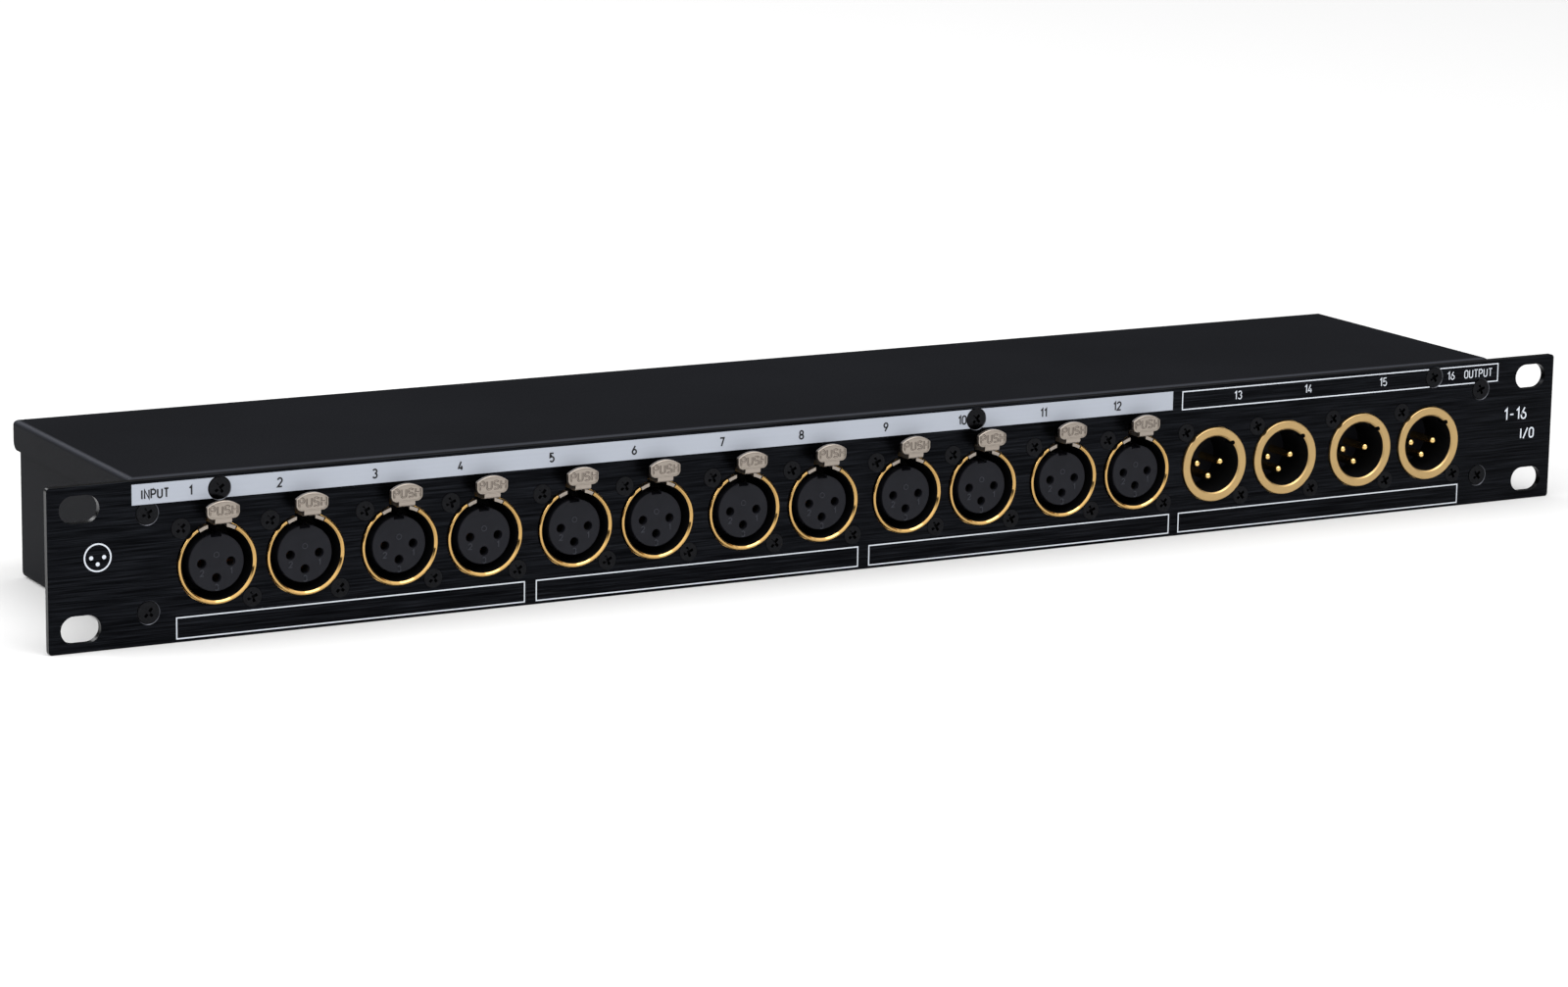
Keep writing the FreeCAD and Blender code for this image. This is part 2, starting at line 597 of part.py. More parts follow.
def rear_wall_cuts():
    """The rear wall's connector and screw holes, in their real place."""
    cuts = []
    for channel in PLUG_CHANNELS:
        cuts += socket_wall_cuts(TRAY_SHEET, channel_x(channel))
    for channel in SOCKET_CHANNELS:
        cuts.append(rod(WALL_HOLE_R, -1, TRAY_SHEET + 1, channel_x(channel), CHANNEL_Z))
    for channel in range(1, CHANNEL_COUNT + 1):
        for dx, dz in screw_places():
            cuts.append(rod(CONNECTOR_SCREW_R, -1, TRAY_SHEET + 1,
                            channel_x(channel) + dx, CHANNEL_Z + dz))
    for x, z in rear_cover_screw_places():
        cuts.append(rod(CASE_SCREW_R, -1, TRAY_SHEET + 1, x, z))
    return [mirrored_rear(cut) for cut in cuts]


def top_cover():
    """The folded cover: top, two side lips over the tray, a rear lip and a front lip."""
    inner = COVER_INNER_X
    half = inner + COVER_SHEET
    rear = CASE_DEPTH + COVER_SHEET
    lip_bottom = COVER_TOP - COVER_LIP_DROP
    outer = block(-half, half, PANEL_THICK, rear, lip_bottom, COVER_TOP)
    folds = edges_at(outer, AXIS_Y, z=COVER_TOP) + edges_at(outer, AXIS_X, z=COVER_TOP)
    outer = outer.makeFillet(COVER_BEND_R, folds)
    lip_corners = edges_at(outer, AXIS_X, y=rear, z=lip_bottom)
    outer = outer.makeFillet(COVER_LIP_CORNER_R, lip_corners)
    inside = block(-inner, inner, PANEL_THICK - 1, CASE_DEPTH, lip_bottom - 1, COVER_UNDERSIDE)
    cover = outer.cut(inside)
    lip_reach = TRAY_INNER_X - POST_SIZE - COVER_SEAT_GAP
    front_lip = block(-lip_reach, lip_reach, PANEL_THICK, PANEL_THICK + COVER_SHEET,
                      COVER_TOP - COVER_FRONT_LIP_DROP, COVER_TOP - COVER_BEND_R)
    fold = block(-lip_reach, lip_reach, PANEL_THICK + COVER_BEND_R / 2, PANEL_THICK + COVER_BEND_R,
                 COVER_TOP - 1.5 * COVER_BEND_R, COVER_TOP - COVER_SHEET / 2)
    cover = cover.fuse([front_lip, fold])
    cuts = [rod(CASE_SCREW_R, 0, CASE_SCREW_LENGTH, x, z) for x, z in front_cover_screw_places()]
    cuts += [rod(CASE_SCREW_R + SCREW_HOLE_GAP, CASE_DEPTH - 1, rear + 1, x, z)
             for x, z in rear_cover_screw_places()]
    nuts = [rod(NUT_R, PANEL_THICK + COVER_SHEET, PANEL_THICK + COVER_SHEET + NUT_LENGTH, x, z)
            for x, z in front_cover_screw_places()]
    return cover.fuse(nuts).cut(cuts).removeSplitter()


def corner_post(side):
    """A drilled corner post between tray and cover, behind the panel's end; side is -1 or 1."""
    inner = TRAY_INNER_X - POST_SIZE
    low = TRAY_FLOOR + POST_END_GAP
    post = block(inner, TRAY_INNER_X, PANEL_THICK, PANEL_THICK + POST_SIZE, low, TRAY_TOP)
    cut_edges = edges_at(post, AXIS_Z, y=PANEL_THICK + POST_SIZE)
    cut_edges += edges_at(post, AXIS_Y, x=TRAY_INNER_X, z=low)
    post = post.makeChamfer(POST_CHAMFER, cut_edges)
    holes = [rod(CASE_SCREW_R, PANEL_THICK - 1, CASE_SCREW_LENGTH + 0.5, POST_SCREW_X, z)
             for z in (-POST_SCREW_SPAN_Z / 2, POST_SCREW_SPAN_Z / 2)]
    post = post.cut(holes)
    return post if side > 0 else post.mirror(V(0, 0, 0), AXIS_X)


# ---- internal leads ---------------------------------------------------------------------------------------------------
def rounded_route(points):
    """Straight runs joined by tangent arcs, as one wire."""
    edges = []
    start = points[0]
    for before, corner, after in zip(points, points[1:], points[2:]):
        into = (corner - before).normalize()
        out = (after - corner).normalize()
        half_turn = into.getAngle(out) / 2
        run = min(corner.distanceToPoint(before), corner.distanceToPoint(after))
        reach = LEAD_ARC_SHARE * run
        first = corner - into * reach
        last = corner + out * reach
        bisector = (out - into).normalize()
        radius = reach / math.tan(half_turn)
        centre = corner + bisector * (radius / math.cos(half_turn))
        middle = centre - bisector * radius
        edges.append(Part.makeLine(start, first))
        edges.append(Part.Arc(first, middle, last).toShape())
        start = last
    edges.append(Part.makeLine(start, points[-1]))
    return Part.Wire(edges)


def lead(side_step):
    """One lead from a front solder cup to the rear one, with a little slack."""
    start = CUP_END - CUP_BORE_DEPTH
    end = CASE_DEPTH - start
    middle = CASE_DEPTH / 2
    points = [V(0, start, 0), V(0, start + LEAD_STRAIGHT, 0),
              V(side_step, middle, -LEAD_SAG),
              V(0, end - LEAD_STRAIGHT, 0), V(0, end, 0)]
    route = rounded_route(points)
    section = Part.Wire(Part.makeCircle(LEAD_R, points[0], AXIS_Y))
    return route.makePipeShell([section], True, False)


# ---- the whole object ---------------------------------------------------------------------------------------------------
def at_channels(shape, channels):
    """A copy of a connector piece at each channel."""
    return [placed(shape, channel_x(channel), 0, CHANNEL_Z) for channel in channels]


def case_nodes():
    """Panel, tray, cover, posts and the screws that hold them."""
    screw = countersunk_screw(CASE_HEAD_R, CASE_SINK_DEPTH, CASE_SCREW_R, CASE_SCREW_LENGTH)
    rear_screw = domed_screw(CASE_HEAD_R, CASE_HEAD_HEIGHT, CASE_SCREW_R, COVER_SCREW_LENGTH)
    rear_screws = [placed(rear_screw, x, -COVER_SHEET, z) for x, z in rear_cover_screw_places()]
    return {
        "front_panel": [front_panel()],
        "chassis_tray": [chassis_tray()],
        "rear_wall": [rear_wall()],
        "top_cover": [top_cover()],
        "corner_posts": [corner_post(-1), corner_post(1)],
        "panel_screws": [placed(turned_screw(screw, index), x, 0, z) for index, (x, z)
                         in enumerate(post_screw_places() + front_cover_screw_places())],
        "cover_screws": [mirrored_rear(piece) for piece in rear_screws],
    }


def socket_nodes(nodes, prefix, channels, wall, place):
    """Socket shells and latches as nodes of their own, one pair to a channel."""
    shell = socket_shell(wall)
    latch = latch_lever()
    for channel in channels:
        nodes["%s_socket_shell_%02d" % (prefix, channel)] = place(at_channels(shell, [channel]))
        nodes["%s_latch_%02d" % (prefix, channel)] = place(at_channels(latch, [channel]))
    nodes[prefix + "_socket_inserts"] = place(at_channels(socket_insert(), channels))
    nodes[prefix + "_socket_contacts"] = place(contact_copies(socket_contact(), channels))


def plug_nodes(nodes, prefix, channels, place):
    """Plug inserts and pins, shared by all the plugs of one side."""
    nodes[prefix + "_plug_inserts"] = place(at_channels(plug_insert(), channels))
    nodes[prefix + "_plug_pins"] = place(contact_copies(plug_pin(), channels))


def contact_copies(shape, channels):
    """A copy of a contact at each of the three places of each channel."""
    return [placed(shape, channel_x(channel) + x, 0, CHANNEL_Z + z)
            for channel in channels for x, z in contact_places()]


def connector_nodes():
    """Shells, inserts, contacts, latches and screws of all the connectors."""
    nodes = {}

    def in_front(pieces):
        return pieces

    def behind(pieces):
        return [mirrored_rear(piece) for piece in pieces]

    socket_nodes(nodes, "front", SOCKET_CHANNELS, PANEL_THICK, in_front)
    socket_nodes(nodes, "rear", PLUG_CHANNELS, TRAY_SHEET, behind)
    for channel in PLUG_CHANNELS:
        nodes["front_plug_shell_%02d" % channel] = at_channels(plug_shell(PANEL_THICK), [channel])
    nodes["rear_plug_shells"] = behind(at_channels(plug_shell(TRAY_SHEET), SOCKET_CHANNELS))
    plug_nodes(nodes, "front", PLUG_CHANNELS, in_front)
    plug_nodes(nodes, "rear", SOCKET_CHANNELS, behind)
    sunk = countersunk_screw(CONNECTOR_HEAD_R, COUNTERSINK_DEPTH, CONNECTOR_SCREW_R,
                             CONNECTOR_SCREW_LENGTH)
    domed = domed_screw(CONNECTOR_HEAD_R, COUNTERSINK_DEPTH, CONNECTOR_SCREW_R, CONNECTOR_SCREW_LENGTH)
    nodes["front_connector_screws"] = connector_screws(sunk)
    nodes["rear_connector_screws"] = behind(connector_screws(domed))
    for name, piece in (("latch_pins", [latch_pin()]), ("latch_springs", [latch_spring()]),
                        ("latch_guides", [latch_guide(-1), latch_guide(1)])):
        copies = []
        for shape in piece:
            copies += in_front(at_channels(shape, SOCKET_CHANNELS))
            copies += behind(at_channels(shape, PLUG_CHANNELS))
        nodes[name] = copies
    return nodes


def connector_screws(screw):
    """Two copies of a screw at every connector, each turned a little differently."""
    copies = []
    for channel in range(1, CHANNEL_COUNT + 1):
        for number, (x, z) in enumerate(screw_places()):
            copies.append(placed(turned_screw(screw, 2 * channel + number),
                                 channel_x(channel) + x, 0, CHANNEL_Z + z))
    return copies


def lead_nodes():
    """The three sets of leads that join each front connector to the one behind it."""
    nodes = {}
    everyone = range(1, CHANNEL_COUNT + 1)
    steps = (LEAD_SIDE_STEP, -LEAD_SIDE_STEP, 0.0)
    for name, step, (x, z) in zip(("leads_screen", "leads_hot", "leads_cold"), steps, contact_places()):
        nodes[name] = at_channels(placed(lead(step), x, 0, z), everyone)
    return nodes


def write_nodes(nodes):
    """Write one STEP file to each node."""
    os.makedirs("parts", exist_ok=True)
    for name, solids in nodes.items():
        shape = solids[0] if len(solids) == 1 else Part.makeCompound(solids)
        shape.exportStep("parts/" + name + ".step")
        print(name, len(shape.Solids), "solids, volume", round(shape.Volume, 1), shape.isValid())


def main():
    """Build every node and write it."""
    nodes = case_nodes()
    nodes.update(connector_nodes())
    nodes.update(lead_nodes())
    write_nodes(nodes)
    print(len(nodes), "nodes")


main()
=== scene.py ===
"""The looks of a rack-mount audio patch bay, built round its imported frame.

Everything is in metres in the frame's axes: +X to the right seen from the front, +Y to the
rear, +Z up. The origin is the centre of the four rack slots, on the panel's front face.
"""
import json
import logging
import math
from dataclasses import dataclass, field
from enum import Enum
from typing import Iterable, Sequence

import bmesh
import bpy
from mathutils import Matrix, Vector


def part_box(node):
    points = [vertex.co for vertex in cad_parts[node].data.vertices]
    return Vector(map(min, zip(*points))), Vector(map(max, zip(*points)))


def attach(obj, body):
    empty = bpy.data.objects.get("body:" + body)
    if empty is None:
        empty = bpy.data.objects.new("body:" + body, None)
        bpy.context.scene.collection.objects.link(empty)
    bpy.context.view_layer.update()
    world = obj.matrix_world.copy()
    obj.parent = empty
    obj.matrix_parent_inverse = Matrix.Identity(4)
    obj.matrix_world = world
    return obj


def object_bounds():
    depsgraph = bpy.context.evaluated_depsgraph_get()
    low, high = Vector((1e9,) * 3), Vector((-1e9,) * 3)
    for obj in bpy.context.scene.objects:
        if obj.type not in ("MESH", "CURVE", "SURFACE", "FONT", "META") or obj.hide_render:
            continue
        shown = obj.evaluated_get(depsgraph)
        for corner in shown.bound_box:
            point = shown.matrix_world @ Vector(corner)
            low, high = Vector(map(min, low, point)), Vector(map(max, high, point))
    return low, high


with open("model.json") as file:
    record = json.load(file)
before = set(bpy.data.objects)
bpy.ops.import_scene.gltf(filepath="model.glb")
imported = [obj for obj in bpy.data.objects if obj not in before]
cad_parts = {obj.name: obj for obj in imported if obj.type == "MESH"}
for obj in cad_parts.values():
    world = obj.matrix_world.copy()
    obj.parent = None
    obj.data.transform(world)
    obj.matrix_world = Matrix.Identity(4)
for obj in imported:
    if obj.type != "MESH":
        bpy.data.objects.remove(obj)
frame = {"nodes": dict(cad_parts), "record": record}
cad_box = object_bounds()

log = logging.getLogger("patch_bay")

MM = 0.001
Colour = tuple[float, float, float]
Point = tuple[float, float]
Stroke = list[Point]


# ---- shader maths ----------------------------------------------------------------------------
class Wire:
    """A node's output in a shader expression; arithmetic on it adds Math nodes."""

    def __init__(self, shader: "NodeWork", socket: bpy.types.NodeSocket) -> None:
        """Wraps one output socket of a node tree.

        Args:
            shader: The work whose tree holds the socket.
            socket: The output socket.
        """
        self.shader = shader
        self.socket = socket

    def _math(self, operation: str, first: "Wire | float", second: "Wire | float") -> "Wire":
        """Adds one Math node.

        Args:
            operation: The node's operation.
            first: The first operand.
            second: The second operand.

        Returns:
            The node's value.
        """
        return self.shader.node("ShaderNodeMath", {"operation": operation}, {0: first, 1: second})

    def __add__(self, other: "Wire | float") -> "Wire":
        """Sum."""
        return self._math("ADD", self, other)

    __radd__ = __add__

    def __sub__(self, other: "Wire | float") -> "Wire":
        """Difference."""
        return self._math("SUBTRACT", self, other)

    def __rsub__(self, other: "Wire | float") -> "Wire":
        """Difference from a number."""
        return self._math("SUBTRACT", other, self)

    def __mul__(self, other: "Wire | float") -> "Wire":
        """Product."""
        return self._math("MULTIPLY", self, other)

    __rmul__ = __mul__

    def __pow__(self, other: "Wire | float") -> "Wire":
        """Power."""
        return self._math("POWER", self, other)

    def clamped(self) -> "Wire":
        """The value kept between 0 and 1."""
        return self.shader.node("ShaderNodeClamp", {}, {"Value": self})


class NodeWork:
    """A node tree that is built up by expressions."""

    def __init__(self, tree: bpy.types.NodeTree) -> None:
        """Takes the tree to build in."""
        self.tree = tree

    def join(self, value: "Wire | float | Sequence[float]", socket: bpy.types.NodeSocket) -> None:
        """Links a wire to a socket, or sets the socket to a constant.

        Args:
            value: A wire, a number or a tuple.
            socket: The input socket.
        """
        if isinstance(value, Wire):
            self.tree.links.new(value.socket, socket)
        elif isinstance(value, (int, float)):
            socket.default_value = value
        else:
            padded = list(value)
            if len(socket.default_value) > len(padded):
                padded.append(1.0)
            socket.default_value = padded

    def node(self, kind: str, settings: dict, inputs: dict, output: int = 0) -> Wire:
        """Adds a node of any type.

        Args:
            kind: The node's type.
            settings: Its own settings, set first.
            inputs: Values or wires of its sockets, by name or number.
            output: The output socket wanted.

        Returns:
            The chosen output.
        """
        made = self.tree.nodes.new(kind)
        for name, value in settings.items():
            setattr(made, name, value)
        for name, value in inputs.items():
            self.join(value, made.inputs[name])
        return Wire(self, made.outputs[output])


class Shader(NodeWork):
    """One material's node tree round its Principled shader."""

    def __init__(self, name: str) -> None:
        """Makes an empty material.

        Args:
            name: The material's name.
        """
        self.material = bpy.data.materials.new(name)
        self.material.use_nodes = True
        super().__init__(self.material.node_tree)
        self.surface = self.tree.nodes["Principled BSDF"]

    def set(self, **sockets: "Wire | float | Sequence[float]") -> None:
        """Sets or links sockets of the Principled shader; an underscore stands for a space."""
        for name, value in sockets.items():
            self.join(value, self.surface.inputs[name.replace("_", " ")])

    def place(self, stretch: Sequence[float] = (1.0, 1.0, 1.0)) -> Wire:
        """The piece's own coordinates in metres, stretched along each axis.

        Args:
            stretch: Factor along X, Y and Z.

        Returns:
            The coordinates.
        """
        own = self.node("ShaderNodeTexCoord", {}, {}, 3)
        return self.node("ShaderNodeVectorMath", {"operation": "MULTIPLY"}, {0: own, 1: stretch})

    def noise(self, place: Wire, scale: float, detail: float = 3.0, blend: float = 0.55) -> Wire:
        """Noise between about 0 and 1.

        Args:
            place: The coordinates.
            scale: Features to a metre of them.
            detail: Octaves.
            blend: How much each octave adds.

        Returns:
            The noise value.
        """
        return self.node("ShaderNodeTexNoise", {},
                         {"Vector": place, "Scale": scale, "Detail": detail, "Roughness": blend})

    def mix(self, share: "Wire | float", first: Colour, second: Colour) -> Wire:
        """A colour between two others.

        Args:
            share: 0 for the first, 1 for the second.
            first: The first colour.
            second: The second colour.

        Returns:
            The mixed colour.
        """
        return self.node("ShaderNodeMix", {"data_type": "RGBA"}, {0: share, 6: first, 7: second}, 2)

    def bump(self, height: Wire, strength: float, reach: float) -> Wire:
        """A normal bent by a height.

        Args:
            height: The height, from 0 to 1.
            strength: The node's strength.
            reach: The height's size in metres.

        Returns:
            The normal.
        """
        return self.node("ShaderNodeBump", {},
                         {"Strength": strength, "Distance": reach, "Height": height})


def shaded(colour: Colour, factor: float) -> Colour:
    """A colour made darker or lighter by a factor."""
    return tuple(min(channel * factor, 1.0) for channel in colour)


# ---- finishes --------------------------------------------------------------------------------
@dataclass(frozen=True)
class Finish:
    """What every finish has: a name, a colour and how rough it is."""

    name: str
    colour: Colour
    roughness: float

    def material(self) -> bpy.types.Material:
        """The finished material.

        Returns:
            The material with its nodes.
        """
        shader = Shader(self.name)
        self.dress(shader)
        return shader.material

    def dress(self, shader: Shader) -> None:
        """Adds the finish's nodes to a shader."""
        raise NotImplementedError


@dataclass(frozen=True)
class BrushedAnodise(Finish):
    """Black anodised aluminium, brushed in long streaks along X."""

    hairs_per_metre: float = 4200.0
    streaks_per_metre: float = 1500.0
    hair_length: float = 0.016
    streak_length: float = 0.03
    streak_light: float = 5.0

    def dress(self, shader: Shader) -> None:
        """Streaks drive colour, roughness and a fine bump.

        Args:
            shader: The shader to dress.
        """
        hair_along = 1.0 / self.hair_length
        along = 1.0 / self.streak_length
        hair = shader.noise(shader.place((hair_along, hair_along, self.hairs_per_metre)), 1.0, 2.0)
        streak = shader.noise(shader.place((along, along, self.streaks_per_metre)), 1.0, 4.0, 0.65)
        lit = ((hair * 0.45 + streak * 0.55 - 0.4) * 3.4).clamped() ** 1.5
        shader.set(Base_Color=shader.mix(lit, shaded(self.colour, 0.62),
                                         shaded(self.colour, self.streak_light)),
                   Roughness=(self.roughness + (hair - 0.5) * 0.2).clamped(),
                   Metallic=1.0,
                   Normal=shader.bump(streak, 0.3, 0.00004))


@dataclass(frozen=True)
class PowderCoat(Finish):
    """Satin black powder coat with a fine orange-peel grain."""

    grains_per_metre: float = 2600.0
    # how much lighter the painted highlight along the folds is
    fold_light: float = 6.0
    gloss: float = 0.012

    def dress(self, shader: Shader) -> None:
        """Grain drives a bump and the shine; a painted highlight lightens the coat where the sheet folds
        upward.

        Args:
            shader: The shader to dress.
        """
        place = shader.place()
        grain = shader.noise(place, self.grains_per_metre, 2.0, 0.5)
        cloud = shader.noise(place, 14.0, 3.0)
        normal = shader.node("ShaderNodeTexCoord", {}, {}, 1)
        x_way, y_way, z_way = (shader.node("ShaderNodeSeparateXYZ", {}, {"Vector": normal}, way)
                               for way in range(3))
        # painted highlight: the colour turns lighter where the normal leans between side and top, along
        # the sheet's upward folds
        fold_highlight_mask = ((x_way * x_way + y_way * y_way) * z_way * z_way * 4.0).clamped()
        coat = shader.mix(cloud, shaded(self.colour, 0.75), shaded(self.colour, 1.3))
        shader.set(Base_Color=shader.mix(fold_highlight_mask * z_way, coat, shaded(self.colour, self.fold_light)),
                   Roughness=self.roughness + (grain - 0.5) * 0.18,
                   Specular_IOR_Level=self.gloss,
                   Normal=shader.bump(grain, 0.35, 0.00008))


@dataclass(frozen=True)
class Plating(Finish):
    """Plated metal, from mirror bright to satin."""

    grain: float = 0.05
    grains_per_metre: float = 3000.0
    relief: float = 0.00001

    def dress(self, shader: Shader) -> None:
        """Fine grain and slow patches vary the shine and the colour.

        Args:
            shader: The shader to dress.
        """
        place = shader.place()
        grain = shader.noise(place, self.grains_per_metre, 3.0)
        patch = shader.noise(place, 160.0, 2.0)
        shader.set(Base_Color=shader.mix(patch, shaded(self.colour, 0.9), shaded(self.colour, 1.06)),
                   Roughness=(self.roughness + (grain - 0.5) * self.grain
                              + (patch - 0.5) * self.grain).clamped(),
                   Metallic=1.0,
                   Normal=shader.bump(grain, 0.3, self.relief))


@dataclass(frozen=True)
class Moulding(Finish):
    """Moulded plastic with a fine sparked grain."""

    grains_per_metre: float = 5200.0
    relief: float = 0.00003
    gloss: float = 0.12

    def dress(self, shader: Shader) -> None:
        """Grain drives a bump and the shine.

        Args:
            shader: The shader to dress.
        """
        place = shader.place()
        grain = shader.noise(place, self.grains_per_metre, 3.0, 0.6)
        flow = shader.noise(place, 220.0, 2.0)
        shader.set(Base_Color=shader.mix(flow, shaded(self.colour, 0.8), shaded(self.colour, 1.25)),
                   Roughness=self.roughness + (grain - 0.5) * 0.2,
                   Specular_IOR_Level=self.gloss,
                   Normal=shader.bump(grain, 0.4, self.relief))


@dataclass(frozen=True)
class BlackOxide(Finish):
    """Blackened steel screws with an oily shine."""

    def dress(self, shader: Shader) -> None:
        """Slight mottling of an oiled dark surface.

        Args:
            shader: The shader to dress.
        """
        mottle = shader.noise(shader.place(), 1400.0, 3.0)
        shader.set(Base_Color=shader.mix(mottle, shaded(self.colour, 0.6), shaded(self.colour, 1.6)),
                   Roughness=self.roughness + (mottle - 0.5) * 0.16,
                   Metallic=1.0,
                   Normal=shader.bump(mottle, 0.2, 0.00002))


@dataclass(frozen=True)
class ScreenInk(Finish):
    """Screen-printed ink, a thin even film that shows the brushing below it."""

    def dress(self, shader: Shader) -> None:
        """Faint streaks and pinholes in the film.

        Args:
            shader: The shader to dress.
        """
        streak = shader.noise(shader.place((40.0, 40.0, 1500.0)), 1.0, 3.0)
        speck = shader.noise(shader.place(), 4200.0, 2.0)
        shader.set(Base_Color=shader.mix(streak * 0.6 + speck * 0.4, shaded(self.colour, 0.93),
                                         shaded(self.colour, 1.05)),
                   Roughness=self.roughness + (speck - 0.5) * 0.12,
                   Specular_IOR_Level=0.3,
                   Normal=shader.bump(speck, 0.15, 0.00001))


@dataclass(frozen=True)
class CutMetal(Finish):
    """Bare machined metal with turning marks."""

    def dress(self, shader: Shader) -> None:
        """Fine marks vary the shine.

        Args:
            shader: The shader to dress.
        """
        mark = shader.noise(shader.place((400.0, 4000.0, 400.0)), 1.0, 3.0)
        shader.set(Base_Color=shader.mix(mark, shaded(self.colour, 0.85), self.colour),
                   Roughness=self.roughness + (mark - 0.5) * 0.2,
                   Metallic=1.0,
                   Normal=shader.bump(mark, 0.2, 0.00002))


@dataclass(frozen=True)
class Sheath(Finish):
    """Soft insulation of a lead."""

    def dress(self, shader: Shader) -> None:
        """A slightly uneven soft surface."""
        wave = shader.noise(shader.place(), 900.0, 2.0)
        shader.set(Base_Color=shader.mix(wave, shaded(self.colour, 0.85), shaded(self.colour, 1.1)),
                   Roughness=self.roughness + (wave - 0.5) * 0.15,
                   Normal=shader.bump(wave, 0.2, 0.00004))


@dataclass(frozen=True)
class StudioPaper(Finish):
    """The plain pale floor."""

    def dress(self, shader: Shader) -> None:
        """A matt sheet with the least tooth."""
        tooth = shader.noise(shader.place(), 900.0, 2.0)
        shader.set(Base_Color=shader.mix(tooth, shaded(self.colour, 0.99), self.colour),
                   Roughness=self.roughness,
                   Specular_IOR_Level=0.0)


class Palette:
    """The object's finishes, made once each."""

    def __init__(self) -> None:
        """Builds every material, keyed by the record's slot or by the artwork it prints."""
        finishes = {
            "anodised_panel": BrushedAnodise("brushed black anodise", (0.0042, 0.0046, 0.0057), 0.34),
            "powder_coat": PowderCoat("satin black powder coat", (0.0074, 0.0078, 0.0094), 0.46),
            "post_alloy": CutMetal("sawn alloy", (0.62, 0.62, 0.63), 0.4),
            "black_screw": BlackOxide("black oxide", (0.0105, 0.0108, 0.012), 0.17),
            "polished_gold": Plating("polished gold plating", (0.60, 0.375, 0.135), 0.12, 0.06),
            "satin_gold": Plating("satin gold plating", (0.54, 0.37, 0.165), 0.38, 0.12,
                                  3600.0, 0.00002),
            "nickel": Plating("satin nickel plating", (0.365, 0.32, 0.278), 0.36, 0.12,
                              3600.0, 0.00002),
            # darker nickel for the sloped groove walls, painted shade
            "pressed_nickel": Plating("pressed nickel lettering", (0.13, 0.11, 0.095), 0.36, 0.12,
                                      3600.0, 0.00002),
            "black_insert": Moulding("black moulded insert", (0.0105, 0.011, 0.0145), 0.5),
            # black for the bore lining; the same black also paints shade into the mouths of the gold
            # contacts
            "blackened_bore": Moulding("blackened bore", (0.0035, 0.0035, 0.004), 0.55),
            # the insert's moulding made lighter, a painted highlight for the raised numbers
            "number_relief": Moulding("insert lettering", (0.032, 0.034, 0.042), 0.4),
            "contact_gold": Plating("contact gold", (0.95, 0.66, 0.26), 0.16, 0.05),
            "spring_steel": CutMetal("drawn spring steel", (0.55, 0.55, 0.56), 0.3),
            "lead_green": Sheath("green lead", (0.03, 0.22, 0.06), 0.45),
            "lead_red": Sheath("red lead", (0.42, 0.02, 0.02), 0.45),
            "lead_white": Sheath("white lead", (0.7, 0.7, 0.68), 0.45),
            "silver_ink": ScreenInk("silver ink", (0.40, 0.43, 0.49), 0.5),
            "white_ink": ScreenInk("white ink", (0.66, 0.70, 0.76), 0.5),
            "black_ink": ScreenInk("black ink", (0.008, 0.008, 0.01), 0.5),
            # lighter metal than the panel, a painted highlight on the countersink rims
            "bevel": CutMetal("worn countersink", (0.085, 0.088, 0.1), 0.3),
            "floor": StudioPaper("studio paper", (0.72, 0.72, 0.72), 0.9),
        }
        self._made = {slot: finish.material() for slot, finish in finishes.items()}

    def __getitem__(self, slot: str) -> bpy.types.Material:
        """The material of a slot."""
        return self._made[slot]


# ---- lettering -------------------------------------------------------------------------------
def bow(cx: float, cz: float, rx: float, rz: float, start: float, end: float,
        steps: int = 14) -> Stroke:
    """Points along an arc of an ellipse.

    Args:
        cx: Centre across.
        cz: Centre up.
        rx: Radius across.
        rz: Radius up.
        start: First angle in degrees.
        end: Last angle in degrees.
        steps: Number of pieces.

    Returns:
        The points.
    """
    angles = [math.radians(start + (end - start) * step / steps) for step in range(steps + 1)]
    return [(cx + rx * math.cos(angle), cz + rz * math.sin(angle)) for angle in angles]


